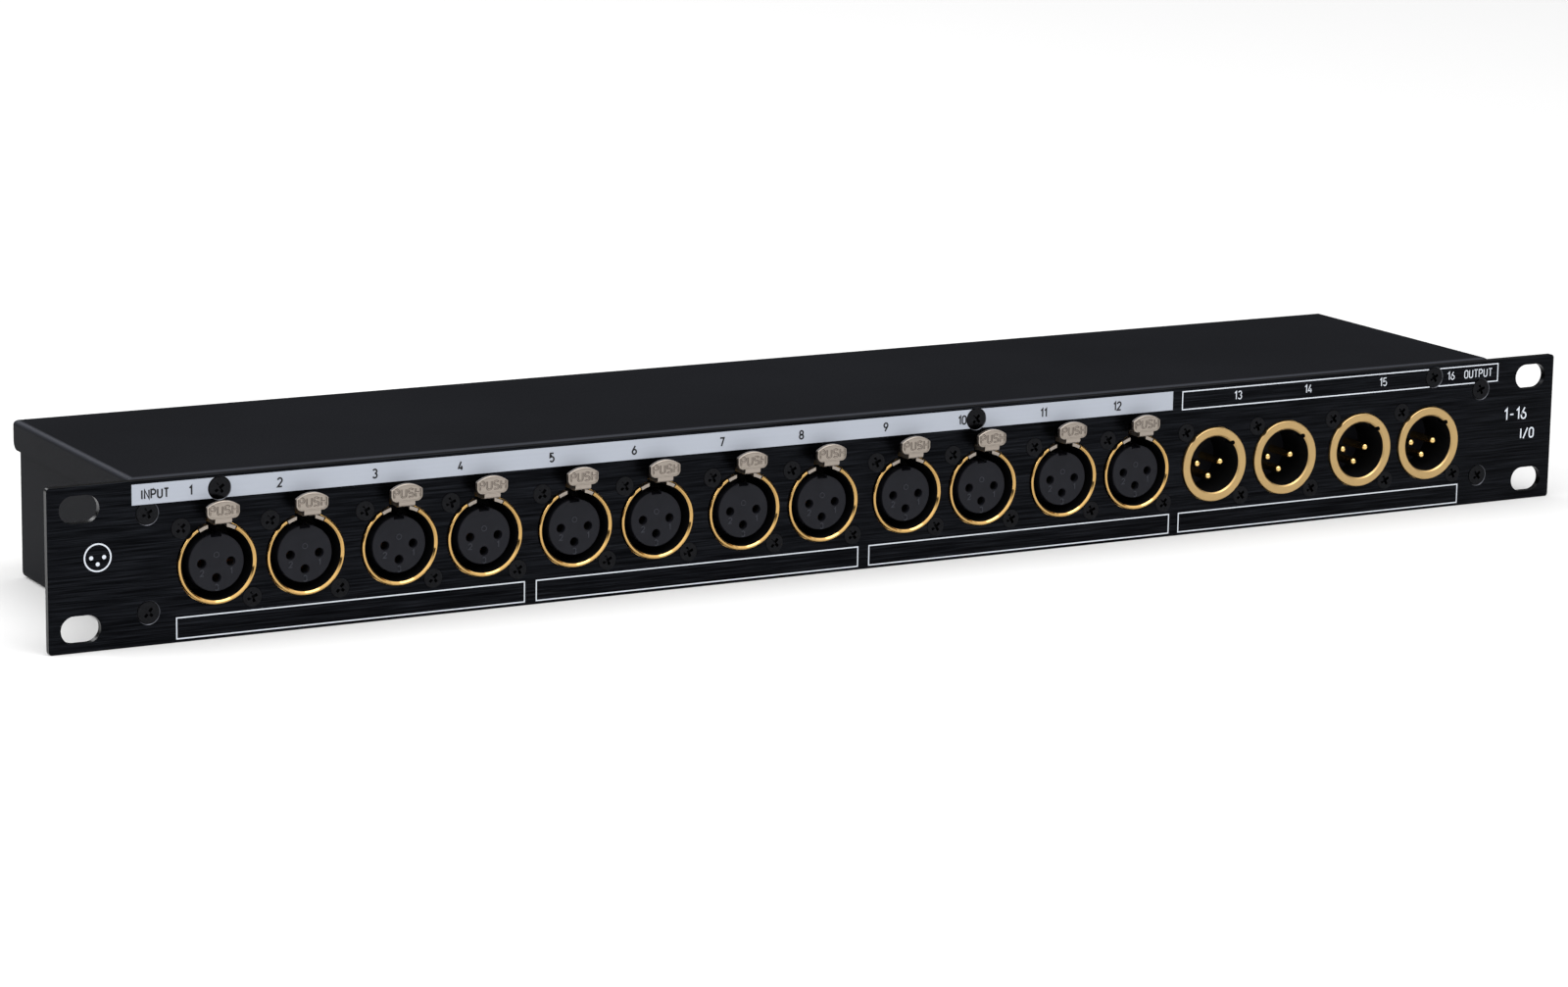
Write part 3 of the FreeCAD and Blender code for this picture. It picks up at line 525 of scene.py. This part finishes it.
@dataclass(frozen=True)
class StrokeFont:
    """A plain engineering alphabet drawn with a pen of even width, in units of its height."""

    wide: float = 0.52

    def strokes(self, sign: str) -> list[Stroke]:
        """The pen strokes of one sign.

        Args:
            sign: A digit, a hyphen, a slash or one of the capitals that the labels use.

        Returns:
            The strokes, in units of the height, from the lower left corner.
        """
        w = self.wide
        r = w / 2
        shapes = {
            "0": [bow(r, 1 - r, r, r, 0, 180) + bow(r, r, r, r, 180, 360) + [(w, 1 - r)]],
            "1": [[(0.02, 0.78), (0.26, 1.0), (0.26, 0.0)]],
            "2": [bow(r, 0.73, r, 0.27, 170, -28) + [(0.0, 0.0), (w, 0.0)]],
            "3": [bow(r, 0.755, r * 0.92, 0.245, 155, -90),
                  bow(r, 0.26, r, 0.26, 90, -155)],
            "4": [[(0.32, 1.0), (0.0, 0.24), (w, 0.24)], [(0.38, 0.5), (0.38, 0.0)]],
            "5": [[(w * 0.92, 1.0), (0.06, 1.0), (0.03, 0.52)] + bow(r, 0.3, r, 0.3, 128, -150)],
            "6": [[(w * 0.72, 1.0), (0.03, 0.42)] + bow(r, 0.28, r, 0.28, 165, 525)],
            "7": [[(0.0, 1.0), (w, 1.0), (w * 0.35, 0.0)]],
            "8": [bow(r, 0.755, r * 0.86, 0.245, -90, 270), bow(r, 0.26, r, 0.26, 90, 450)],
            "9": [[(w * 0.28, 0.0), (w - 0.03, 0.58)] + bow(r, 0.72, r, 0.28, -15, 345)],
            "-": [[(0.08, 0.46), (w - 0.08, 0.46)]],
            "/": [[(0.0, -0.05), (w, 1.05)]],
            "H": [[(0.0, 0.0), (0.0, 1.0)], [(w, 0.0), (w, 1.0)], [(0.0, 0.5), (w, 0.5)]],
            "I": [[(0.07, 0.0), (0.07, 1.0)]],
            "N": [[(0.0, 0.0), (0.0, 1.0), (w, 0.0), (w, 1.0)]],
            "O": [bow(r, 1 - r, r, r, 0, 180) + bow(r, r, r, r, 180, 360) + [(w, 1 - r)]],
            "P": [[(0.0, 0.0), (0.0, 1.0), (w - 0.26, 1.0)] + bow(w - 0.26, 0.73, 0.26, 0.27, 90, -90)
                  + [(0.0, 0.46)]],
            "S": [bow(r, 0.745, r, 0.255, 25, 265) + bow(r, 0.255, r, 0.255, 85, -155)],
            "T": [[(0.0, 1.0), (w, 1.0)], [(w / 2, 1.0), (w / 2, 0.0)]],
            "U": [[(0.0, 1.0)] + bow(r, r, r, r, 180, 360) + [(w, 1.0)]],
        }
        return shapes[sign]

    def width(self, sign: str) -> float:
        """The width of one sign, in units of the height."""
        return {"1": 0.28, "I": 0.14}.get(sign, self.wide)

    def line(self, text: str, height: float, spacing: float,
             centre: Point) -> list[Stroke]:
        """The strokes of a line of text.

        Args:
            text: The signs.
            height: Height of the capitals.
            spacing: Space between signs, in units of the height.
            centre: The middle of the line.

        Returns:
            The strokes in place.
        """
        total = sum(self.width(sign) for sign in text) + spacing * (len(text) - 1)
        x = centre[0] - total * height / 2
        z = centre[1] - height / 2
        placed: list[Stroke] = []
        for sign in text:
            for stroke in self.strokes(sign):
                placed.append([(x + px * height, z + pz * height) for px, pz in stroke])
            x += (self.width(sign) + spacing) * height
        return placed


class Facing(Enum):
    """Which way raised artwork looks: to the front, or to the rear of the case."""

    FRONT = -1
    REAR = 1


@dataclass
class Artwork:
    """Flat slabs that stand on a plane across Y, gathered into one mesh."""

    name: str
    plane: float
    height: float
    facing: Facing = Facing.FRONT
    verts: list[Vector] = field(default_factory=list)
    faces: list[tuple[int, ...]] = field(default_factory=list)

    def _pair(self, point: Point, centre: float) -> None:
        """Adds the front and back corners over one point.

        Args:
            point: The point across and up.
            centre: The place across about which a rear slab is mirrored.
        """
        side = -self.facing.value
        x = centre + (point[0] - centre) * side
        self.verts.append(Vector((x, self.plane + self.facing.value * self.height, point[1])))
        self.verts.append(Vector((x, self.plane, point[1])))

    def slab(self, outline: Sequence[Point], centre: float = 0.0) -> None:
        """Adds a closed slab with a given outline.

        Args:
            outline: The corners in order.
            centre: The place across about which a rear slab is mirrored.
        """
        base = len(self.verts)
        count = len(outline)
        for point in outline:
            self._pair(point, centre)
        self.faces.append(tuple(base + 2 * i for i in range(count)))
        self.faces.append(tuple(base + 2 * i + 1 for i in reversed(range(count))))
        for i in range(count):
            j = (i + 1) % count
            self.faces.append((base + 2 * i, base + 2 * i + 1, base + 2 * j + 1, base + 2 * j))

    def ribbon(self, points: Stroke, width: float, centre: float = 0.0,
               closed: bool = False) -> None:
        """Adds a pen stroke of even width with mitred corners.

        Args:
            points: The stroke's middle line.
            width: The pen's width.
            centre: The place across about which a rear stroke is mirrored.
            closed: Whether the stroke ends where it starts.
        """
        left, right = stroke_sides(points, width, closed)
        if closed:
            count = len(points)
            for i in range(count):
                j = (i + 1) % count
                self.slab([left[i], right[i], right[j], left[j]], centre)
        else:
            self.slab(left + right[::-1], centre)

    def ring(self, x: float, z: float, outer: float, inner: float, centre: float = 0.0) -> None:
        """Adds a flat ring, or a disc where the inner radius is 0.

        Args:
            x: Its middle across.
            z: Its middle up.
            outer: Outer radius.
            inner: Inner radius.
            centre: The place across about which a rear ring is mirrored.
        """
        circle = bow(x, z, outer, outer, 0, 360, 48)[:-1]
        if inner <= 0:
            self.slab(circle, centre)
            return
        middle = (outer + inner) / 2
        self.ribbon(bow(x, z, middle, middle, 0, 360, 48)[:-1], outer - inner, centre, True)

    def build(self, material: bpy.types.Material, body: str, slot: str) -> bpy.types.Object:
        """Makes the mesh object and seats it on its body.

        Args:
            material: Its material.
            body: The body it rides on.
            slot: The record's slot it is finished as; not used.

        Returns:
            The new object.
        """
        mesh = bpy.data.meshes.new(self.name)
        mesh.from_pydata(self.verts, [], self.faces)
        mesh.validate()
        mesh.materials.append(material)
        piece = bpy.data.objects.new(self.name, mesh)
        bpy.context.scene.collection.objects.link(piece)
        outward(piece)
        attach(piece, body)
        log.info("%s: %d faces on %s", self.name, len(mesh.polygons), body)
        return piece


def stroke_sides(points: Stroke, width: float, closed: bool) -> tuple[list[Point], list[Point]]:
    """The two sides of a pen stroke.

    Args:
        points: The middle line.
        width: The pen's width.
        closed: Whether the line is closed.

    Returns:
        The left and the right side, one point each to a point of the line.
    """
    left: list[Point] = []
    right: list[Point] = []
    count = len(points)
    for i, point in enumerate(points):
        here = Vector(point)
        before = Vector(points[i - 1]) if closed or i > 0 else here * 2 - Vector(points[1])
        after = Vector(points[(i + 1) % count]) if closed or i < count - 1 else here * 2 - before
        into = (here - before).normalized()
        out = (after - here).normalized()
        normal = Vector((-into.y - out.y, into.x + out.x)).normalized()
        cosine = max(normal.dot(Vector((-into.y, into.x))), 0.4)
        reach = normal * (width / 2 / cosine)
        left.append(tuple(here + reach))
        right.append(tuple(here - reach))
    return left, right


def outward(piece: bpy.types.Object) -> None:
    """Turns every face of a mesh object to look outward.

    Args:
        piece: The object, changed in place.
    """
    work = bmesh.new()
    work.from_mesh(piece.data)
    bmesh.ops.recalc_face_normals(work, faces=work.faces)
    work.to_mesh(piece.data)
    work.free()


# ---- sub-assemblies --------------------------------------------------------------------------
@dataclass
class Channels:
    """Where the sixteen channels are, read from the frame."""

    count: int = 16
    front_sockets: int = 12
    axis_rise: float = 13.0 * MM

    def x(self, channel: int) -> float:
        """The place of a channel across the case."""
        return (self._box(channel)[0].x + self._box(channel)[1].x) / 2

    def z(self, channel: int) -> float:
        """The height of a connector's axis, from its flange's lower edge."""
        low, _ = self._box(channel)
        return low.z + self.axis_rise

    def _box(self, channel: int) -> tuple[Vector, Vector]:
        """The box of the channel's front shell."""
        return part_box(self.front_shell(channel))

    def front_shell(self, channel: int) -> str:
        """The node of a channel's front shell."""
        kind = "socket" if channel <= self.front_sockets else "plug"
        return "front_%s_shell_%02d" % (kind, channel)

    def sides(self) -> Iterable[tuple[int, Facing]]:
        """Each channel that has a latch, with the side that it is on."""
        for channel in range(1, self.count + 1):
            yield channel, Facing.FRONT if channel <= self.front_sockets else Facing.REAR


@dataclass
class Case:
    """Panel, tray, cover, posts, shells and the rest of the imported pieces: dresses each node."""

    palette: Palette
    channels: Channels
    socket_bore_r: float = 10.05 * MM
    plug_bore_r: float = 8.45 * MM
    lip: float = 0.42 * MM
    key_depth: float = 0.2 * MM
    slot_depth: float = 0.8 * MM
    mouth: float = 8.0 * MM

    def dress(self) -> None:
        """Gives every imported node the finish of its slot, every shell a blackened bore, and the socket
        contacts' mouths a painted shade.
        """
        for entry in frame["record"]["subparts"]:
            name = entry["node"]
            node = frame["nodes"][name]
            node.data.materials.clear()
            node.data.materials.append(self.palette[entry["material_slot"]])
            log.info("%s: finished as %s", name, entry["material_slot"])
            if "_shell" in name:
                self._blacken_bore(name, node)
            # the socket contacts get painted shade near their mouths
            if name.endswith("socket_contacts"):
                self._blacken_mouths(name, node)

    def _blacken_bore(self, name: str, node: bpy.types.Object) -> None:
        """Finishes the inside of a shell's barrel in black up to its lip, and its key in full.

        Args:
            name: The node's name.
            node: The shell, or the shells of one side.
        """
        node.data.materials.append(self.palette["blackened_bore"])
        low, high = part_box(name)
        bore = self.socket_bore_r if "socket" in name else self.plug_bore_r
        z = self.channels.z(1)
        axes = [self.channels.x(channel) for channel in range(1, self.channels.count + 1)]
        for face in node.data.polygons:
            centre = face.center
            x = min(axes, key=lambda axis: abs(axis - centre.x))
            depth = centre.y - low.y if name.startswith("front") else high.y - centre.y
            radius = math.hypot(centre.x - x, centre.z - z)
            if radius < bore - self.key_depth or radius < bore + self.slot_depth and depth > self.lip:
                face.material_index = 1

    def _blacken_mouths(self, name: str, node: bpy.types.Object) -> None:
        """Paints the mouths of the socket contacts black, a painted shade inside the holes.

        Args:
            name: The node's name.
            node: The contacts of one side.
        """
        node.data.materials.append(self.palette["blackened_bore"])
        low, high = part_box(name)
        # painted shade: contact faces near the mouth take the black material
        for face in node.data.polygons:
            y = face.center.y
            if (y - low.y if name.startswith("front") else high.y - y) < self.mouth:
                face.material_index = 1


@dataclass
class PanelPrint:
    """The printed artwork of the front panel: band, outlines, numbers and words."""

    palette: Palette
    channels: Channels
    font: StrokeFont = field(default_factory=StrokeFont)
    film: float = 0.02 * MM
    line: float = 0.33 * MM
    pen: float = 0.46 * MM
    fine_pen: float = 0.28 * MM
    cap: float = 2.3 * MM
    spacing: float = 0.26
    band_x: Point = (-218.2 * MM, 102.75 * MM)
    band_z: Point = (15.6 * MM, 21.1 * MM)
    output_x: Point = (106.1 * MM, 220.1 * MM)
    output_z: Point = (15.4 * MM, 20.7 * MM)
    label_z: Point = (-21.0 * MM, -15.4 * MM)
    label_x: tuple[Point, ...] = ((-206.25 * MM, -105.8 * MM), (-102.25 * MM, -1.9 * MM),
                                  (1.7 * MM, 102.5 * MM), (105.9 * MM, 206.7 * MM))
    text_z: float = 18.25 * MM
    input_word_x: float = -211.8 * MM
    output_word_x: float = 212.8 * MM
    number_shift: Point = (-7.1 * MM, 7.8 * MM)
    mark: Point = (-227.7 * MM, 2.75 * MM)
    mark_outer: float = 3.8 * MM
    mark_inner: float = 3.4 * MM
    mark_dot: float = 0.55 * MM
    mark_dot_reach: float = 1.75 * MM
    end_words: tuple[tuple[str, float, Point], ...] = (
        ("1-16", 3.4 * MM, (227.5 * MM, 4.7 * MM)), ("I/O", 2.9 * MM, (232.2 * MM, -1.6 * MM)))
    screw_r: float = 3.25 * MM
    screws: tuple[Point, ...] = ((-193.9 * MM, 18.2 * MM), (36.1 * MM, 18.2 * MM),
                                 (196.4 * MM, 18.2 * MM), (214.0 * MM, 13.2 * MM))

    def build(self) -> None:
        """Builds the band, the outlines and the lettering."""
        self._band()
        self._outlines()
        self._lettering()
        self._marks()

    def _band(self) -> None:
        """The silver band over the input channels, cut round its screws."""
        art = Artwork("input_band", 0.0, self.film)
        z0, z1 = self.band_z
        start: list[Point] = [(self.band_x[0], z1), (self.band_x[0], z0)]
        for cx, cz in [screw for screw in self.screws if screw[0] < self.band_x[1]]:
            art.slab(start + self._notch(cx, cz, -1.0))
            start = self._notch(cx, cz, 1.0)
        art.slab(start + [(self.band_x[1], z0), (self.band_x[1], z1)])
        art.build(self.palette["silver_ink"], "chassis", "anodised_panel")

    def _notch(self, cx: float, cz: float, side: float) -> list[Point]:
        """The arc where the band meets a screw, from its lower to its upper edge, or back.

        Args:
            cx: The screw's place across.
            cz: The screw's height.
            side: -1 for the arc left of the screw, 1 for the one right of it.

        Returns:
            The arc's points, in the outline's order.
        """
        low = math.degrees(math.asin((self.band_z[0] - cz) / self.screw_r))
        high = math.degrees(math.asin((self.band_z[1] - cz) / self.screw_r))
        if side < 0:
            return bow(cx, cz, self.screw_r, self.screw_r, 180 - low, 180 - high)
        return bow(cx, cz, self.screw_r, self.screw_r, high, low)

    def _outlines(self) -> None:
        """The outline over the outputs, broken at its screws, and the four label boxes."""
        art = Artwork("label_outlines", 0.0, self.film)
        for x0, x1 in self.label_x:
            z0, z1 = self.label_z
            art.ribbon([(x0, z0), (x1, z0), (x1, z1), (x0, z1)], self.line, closed=True)
        art.build(self.palette["white_ink"], "chassis", "anodised_panel")
        art = Artwork("output_outline", 0.0, self.film)
        x0, x1 = self.output_x
        z0, z1 = self.output_z
        half = self.line / 2
        for z in (z0, z1):
            start = x0 - half
            for cx, cz in sorted(self.screws):
                if x0 < cx < x1 and abs(cz - z) < self.screw_r:
                    reach = math.sqrt(self.screw_r ** 2 - (cz - z) ** 2)
                    art.ribbon([(start, z), (cx - reach, z)], self.line)
                    start = cx + reach
            art.ribbon([(start, z), (x1 + half, z)], self.line)
        for x in (x0, x1):
            art.ribbon([(x, z0 + half), (x, z1 - half)], self.line)
        art.build(self.palette["white_ink"], "chassis", "anodised_panel")

    def _lettering(self) -> None:
        """Channel numbers and the words INPUT and OUTPUT."""
        band = Artwork("input_numbers", -self.film, self.film)
        box = Artwork("output_numbers", 0.0, self.film)
        for channel in range(1, self.channels.count + 1):
            is_input = channel <= self.channels.front_sockets
            shift = self.number_shift[0 if is_input else 1]
            centre = (self.channels.x(channel) + shift, self.text_z)
            for stroke in self.font.line(str(channel), self.cap, self.spacing, centre):
                if is_input:
                    band.ribbon(stroke, self.pen)
                else:
                    box.ribbon(stroke, self.fine_pen)
        for stroke in self.font.line("INPUT", self.cap, self.spacing, (self.input_word_x, self.text_z)):
            band.ribbon(stroke, self.pen)
        for stroke in self.font.line("OUTPUT", self.cap, self.spacing, (self.output_word_x, self.text_z)):
            box.ribbon(stroke, self.fine_pen)
        band.build(self.palette["black_ink"], "chassis", "anodised_panel")
        box.build(self.palette["white_ink"], "chassis", "anodised_panel")

    def _marks(self) -> None:
        """The plain mark at the left end and the plain numbers at the right end."""
        art = Artwork("end_marks", 0.0, self.film)
        x, z = self.mark
        art.ring(x, z, self.mark_outer, self.mark_inner)
        for angle in (0, 180, 270):
            art.ring(x + self.mark_dot_reach * math.cos(math.radians(angle)),
                     z + self.mark_dot_reach * math.sin(math.radians(angle)), self.mark_dot, 0.0)
        for word, height, centre in self.end_words:
            for stroke in self.font.line(word, height, self.spacing, centre):
                art.ribbon(stroke, self.pen)
        art.build(self.palette["white_ink"], "chassis", "anodised_panel")


@dataclass
class Countersinks:
    """A lighter metal ring laid on the bevel round each case screw in the panel, a painted highlight of
    its lit rim.
    """

    palette: Palette
    places: tuple[Point, ...] = ((-214.0 * MM, 13.2 * MM), (-214.0 * MM, -13.2 * MM),
                                 (214.0 * MM, 13.2 * MM), (214.0 * MM, -13.2 * MM),
                                 (-193.9 * MM, 18.2 * MM), (36.1 * MM, 18.2 * MM),
                                 (196.4 * MM, 18.2 * MM))
    outer: float = 3.24 * MM
    inner: float = 2.97 * MM
    depth: float = 0.2 * MM
    stand: float = 0.012 * MM
    steps: int = 64

    def build(self) -> None:
        """Builds all the bevels as one piece."""
        verts: list[Vector] = []
        faces: list[tuple[int, ...]] = []
        profile = [(self.outer, -self.stand), (self.inner, self.depth - self.stand),
                   (self.inner, self.depth), (self.outer, 0.0)]
        for x, z in self.places:
            base = len(verts)
            for step in range(self.steps):
                angle = 2 * math.pi * step / self.steps
                for radius, y in profile:
                    verts.append(Vector((x + radius * math.cos(angle), y,
                                         z + radius * math.sin(angle))))
            size = len(profile)
            for step in range(self.steps):
                here = base + step * size
                there = base + (step + 1) % self.steps * size
                for i in range(size):
                    j = (i + 1) % size
                    faces.append((here + i, here + j, there + j, there + i))
        mesh = bpy.data.meshes.new("countersink_bevels")
        mesh.from_pydata(verts, [], faces)
        mesh.materials.append(self.palette["bevel"])
        piece = bpy.data.objects.new("countersink_bevels", mesh)
        bpy.context.scene.collection.objects.link(piece)
        outward(piece)
        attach(piece, "chassis")
        log.info("countersink bevels: %d", len(self.places))


@dataclass
class LatchFaces:
    """The stamped face of each push latch: a thin plate in the tab's dish, its word pressed in."""

    palette: Palette
    channels: Channels
    font: StrokeFont = field(default_factory=lambda: StrokeFont(0.62))
    tab_width: float = 9.1 * MM
    tab_height: float = 4.85 * MM
    shoulder: float = 3.25 * MM
    corner: float = 1.6 * MM
    rim: float = 0.45 * MM
    dish: float = 0.15 * MM
    groove_depth: float = 0.13 * MM
    groove_top: float = 0.56 * MM
    groove_floor: float = 0.16 * MM
    word_height: float = 2.25 * MM
    word_spacing: float = 0.3
    word_drop: float = 2.55 * MM

    def build(self) -> None:
        """Builds one front face, then seats a copy of it on every lever, turned for the rear ones."""
        plate = self._plate()
        self._press(plate)
        for channel, facing in self.channels.sides():
            side = facing.name.lower()
            low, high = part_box("%s_latch_%02d" % (side, channel))
            x = (low.x + high.x) / 2
            face = low.y if facing is Facing.FRONT else high.y
            turn = Matrix.Identity(4) if facing is Facing.FRONT else Matrix.Rotation(math.pi, 4, "Z")
            mesh = plate.copy()
            mesh.transform(Matrix.Translation((x, face, high.z)) @ turn)
            piece = bpy.data.objects.new("%s_latch_face_%02d" % (side, channel), mesh)
            bpy.context.scene.collection.objects.link(piece)
            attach(piece, "%s_latch_lever_%02d" % (side, channel))
            log.info("%s: %d faces", piece.name, len(mesh.polygons))

    def _plate(self) -> bpy.types.Mesh:
        """The plain plate, with the tab's highest point at the origin.

        Returns:
            The plate's mesh.
        """
        art = Artwork("latch_face", self.dish, self.dish)
        half = self.tab_width / 2 - self.rim
        low = self.rim - self.tab_height
        top = -self.rim
        shoulder = self.shoulder - self.tab_height
        corner = self.corner - self.rim / 2
        sag = top - shoulder
        dome = (half * half + sag * sag) / (2 * sag)
        reach = math.degrees(math.asin(half / dome))
        outline = bow(half - corner, low + corner, corner, corner, -90, 0, 8)
        outline += bow(0.0, top - dome, dome, dome, 90 - reach, 90 + reach, 16)
        outline += bow(corner - half, low + corner, corner, corner, 180, 270, 8)
        art.slab(outline)
        mesh = bpy.data.meshes.new("latch_face")
        mesh.from_pydata(art.verts, [], art.faces)
        mesh.materials.append(self.palette["nickel"])
        mesh.materials.append(self.palette["pressed_nickel"])
        return mesh

    def _press(self, plate: bpy.types.Mesh) -> None:
        """Presses the word into the plate as sloped grooves, whose walls take a darker nickel as painted
        shade.

        Args:
            plate: The plate's mesh, cut in place.
        """
        target = bpy.data.objects.new("latch_face", plate)
        bpy.context.scene.collection.objects.link(target)
        outward(target)
        place = (0.0, -self.word_drop)
        cutters = [self._groove(stroke)
                   for stroke in self.font.line("PUSH", self.word_height, self.word_spacing, place)]
        for cutter in cutters:
            cut = target.modifiers.new("groove", "BOOLEAN")
            cut.operation = "DIFFERENCE"
            cut.solver = "EXACT"
            cut.use_self = True
            cut.object = cutter
        pressed = target.evaluated_get(bpy.context.evaluated_depsgraph_get()).to_mesh().copy()
        work = bmesh.new()
        work.from_mesh(pressed)
        work.to_mesh(plate)
        work.free()
        # painted shade: the sloped groove walls take the darker nickel; the face and the groove floors
        # stay plain nickel
        for face in plate.polygons:
            slope = abs(face.normal.y)
            face.material_index = int(0.1 < slope < 0.99)
        for piece in [target, *cutters]:
            bpy.data.objects.remove(piece)

    def _groove(self, stroke: Stroke) -> bpy.types.Object:
        """A wedge along one pen stroke, wide at the plate's face and narrow at its floor.

        Args:
            stroke: The stroke's middle line.

        Returns:
            The wedge as an object.
        """
        over = 0.02 * MM
        slope = (self.groove_top - self.groove_floor) / self.groove_depth
        wide = self.groove_top + slope * over
        rims = [*stroke_sides(stroke, wide, False), *stroke_sides(stroke, self.groove_floor, False)]
        levels = (-over, -over, self.groove_depth, self.groove_depth)
        verts = [Vector((x, y, z)) for rim, y in zip(rims, levels) for x, z in rim]
        count = len(stroke)
        faces: list[tuple[int, ...]] = []
        for i in range(count - 1):
            a, b, c, d = (i + count * row for row in range(4))
            faces += [(a, b, b + 1, a + 1), (c, c + 1, d + 1, d),
                      (a, a + 1, c + 1, c), (b, d, d + 1, b + 1)]
        for i in (0, count - 1):
            faces.append(tuple(i + count * row for row in (0, 2, 3, 1)))
        mesh = bpy.data.meshes.new("groove")
        mesh.from_pydata(verts, [], faces)
        cutter = bpy.data.objects.new("groove", mesh)
        bpy.context.scene.collection.objects.link(cutter)
        outward(cutter)
        return cutter


@dataclass
class InsertNumbers:
    """The small raised contact numbers on the faces of the socket inserts, finished a little lighter than
    the insert as a painted highlight of their lit edges.
    """

    palette: Palette
    channels: Channels
    font: StrokeFont = field(default_factory=lambda: StrokeFont(0.62))
    height: float = 1.55 * MM
    pen: float = 0.27 * MM
    relief: float = 0.1 * MM
    face_depth: float = 0.3 * MM
    contact_reach: float = 4.1 * MM
    drop: float = 2.55 * MM
    spacing: float = 0.2
    gate_rise: float = 2.1 * MM
    gate_outer: float = 0.8 * MM
    gate_inner: float = 0.6 * MM

    def build(self) -> None:
        """Builds the numbers of the front and of the rear inserts, and a gate mark on each."""
        rear_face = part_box("rear_socket_inserts")[1].y
        front = Artwork("front_insert_numbers", self.face_depth, self.relief)
        rear = Artwork("rear_insert_numbers", rear_face, self.relief, Facing.REAR)
        for channel, facing in self.channels.sides():
            art = front if facing is Facing.FRONT else rear
            x, z = self.channels.x(channel), self.channels.z(channel)
            mirror = -facing.value
            places = {"1": (x + mirror * self.contact_reach, z),
                      "2": (x - mirror * self.contact_reach, z),
                      "3": (x, z - self.contact_reach)}
            for number, (px, pz) in places.items():
                for stroke in self.font.line(number, self.height, self.spacing,
                                             (px, pz - self.drop)):
                    art.ribbon(stroke, self.pen, x)
            art.ring(x, z + self.gate_rise, self.gate_outer, self.gate_inner, x)
        front.build(self.palette["number_relief"], "chassis", "black_insert")
        rear.build(self.palette["number_relief"], "chassis", "black_insert")


@dataclass
class Studio:
    """Floor, lights and camera."""

    palette: Palette
    floor_size: float = 12.0
    camera_place: tuple[float, float, float] = (-0.6399, -1.1118, 0.2676)
    camera_yaw: float = 28.91
    camera_pitch: float = -11.81
    camera_roll: float = 0.88
    camera_lens: float = 107.05
    dome_light: float = 1.5
    dome_rise: Point = (0.25, 0.75)
    horizon_light: float = 0.06
    dome_tilt: float = 0.35

    def build(self) -> None:
        """Builds everything that isn't the object."""
        self._floor()
        self._light("key", (0.25, -0.75, 1.5), (0.0, 0.0, 0.0), 0.9, 8.0)
        self._light("back", (-0.5, 2.0, 1.05), (-0.1, 0.1, 0.0), 0.8, 9.0)
        self._light("side", (-1.5, 0.25, 0.85), (-0.2, 0.1, 0.0), 0.9, 14.0)
        self._world()
        self._camera()

    def _floor(self) -> None:
        """The plain pale floor under the case."""
        half = self.floor_size / 2
        z = cad_box[0].z
        mesh = bpy.data.meshes.new("floor")
        mesh.from_pydata([(-half, -half, z), (half, -half, z), (half, half, z), (-half, half, z)],
                         [], [(0, 1, 2, 3)])
        mesh.materials.append(self.palette["floor"])
        floor = bpy.data.objects.new("floor", mesh)
        bpy.context.scene.collection.objects.link(floor)

    def _light(self, name: str, place: Sequence[float], target: Sequence[float], size: float,
               power: float) -> None:
        """A soft square light.

        Args:
            name: Its name.
            place: Where it hangs.
            target: Where it looks.
            size: Its side in metres.
            power: Its power in watts.
        """
        light = bpy.data.lights.new(name, "AREA")
        light.size = size
        light.energy = power
        lamp = bpy.data.objects.new(name, light)
        lamp.location = place
        lamp.rotation_euler = (Vector(target) - Vector(place)).to_track_quat("-Z", "Y").to_euler()
        bpy.context.scene.collection.objects.link(lamp)

    def _world(self) -> None:
        """A bright dome overhead, tilted forward and dark at the horizon; white where it is seen."""
        world = bpy.data.worlds.new("surround")
        world.use_nodes = True
        sky = NodeWork(world.node_tree)
        way = sky.node("ShaderNodeTexCoord", {}, {})
        back = sky.node("ShaderNodeSeparateXYZ", {}, {"Vector": way}, 1)
        height = sky.node("ShaderNodeSeparateXYZ", {}, {"Vector": way}, 2)
        rise = sky.node("ShaderNodeMapRange", {"interpolation_type": "SMOOTHSTEP"},
                        {"Value": height - back * self.dome_tilt,
                         "From Min": self.dome_rise[0], "From Max": self.dome_rise[1]})
        seen = sky.node("ShaderNodeLightPath", {}, {})
        light = rise * self.dome_light + self.horizon_light
        background = sky.tree.nodes["Background"]
        sky.join(light * (1 - seen) + seen, background.inputs["Strength"])
        sky.join((1.0, 1.0, 1.0), background.inputs["Color"])
        bpy.context.scene.world = world
        bpy.context.scene.view_settings.view_transform = "Standard"

    def _camera(self) -> None:
        """The camera, turned by its yaw, pitch and roll."""
        yaw, pitch, roll = (math.radians(angle) for angle in
                            (self.camera_yaw, self.camera_pitch, self.camera_roll))
        ahead = Vector((math.sin(yaw) * math.cos(pitch), math.cos(yaw) * math.cos(pitch),
                        math.sin(pitch)))
        right = Vector((math.cos(yaw), -math.sin(yaw), 0.0))
        above = right.cross(ahead)
        turned_right = right * math.cos(roll) + above * math.sin(roll)
        turned_up = above * math.cos(roll) - right * math.sin(roll)
        data = bpy.data.cameras.new("camera")
        data.lens = self.camera_lens
        data.clip_start = 0.05
        camera = bpy.data.objects.new("camera", data)
        basis = Matrix((turned_right, turned_up, -ahead)).transposed().to_4x4()
        camera.matrix_world = Matrix.Translation(self.camera_place) @ basis
        bpy.context.scene.collection.objects.link(camera)
        bpy.context.scene.camera = camera


def main() -> None:
    """Builds the looks of the whole object, piece by piece."""
    logging.basicConfig(level=logging.INFO, format="%(name)s: %(message)s")
    palette = Palette()
    channels = Channels()
    Studio(palette).build()
    Case(palette, channels).dress()
    PanelPrint(palette, channels).build()
    Countersinks(palette).build()
    LatchFaces(palette, channels).build()
    InsertNumbers(palette, channels).build()


if __name__ == "__main__":
    main()
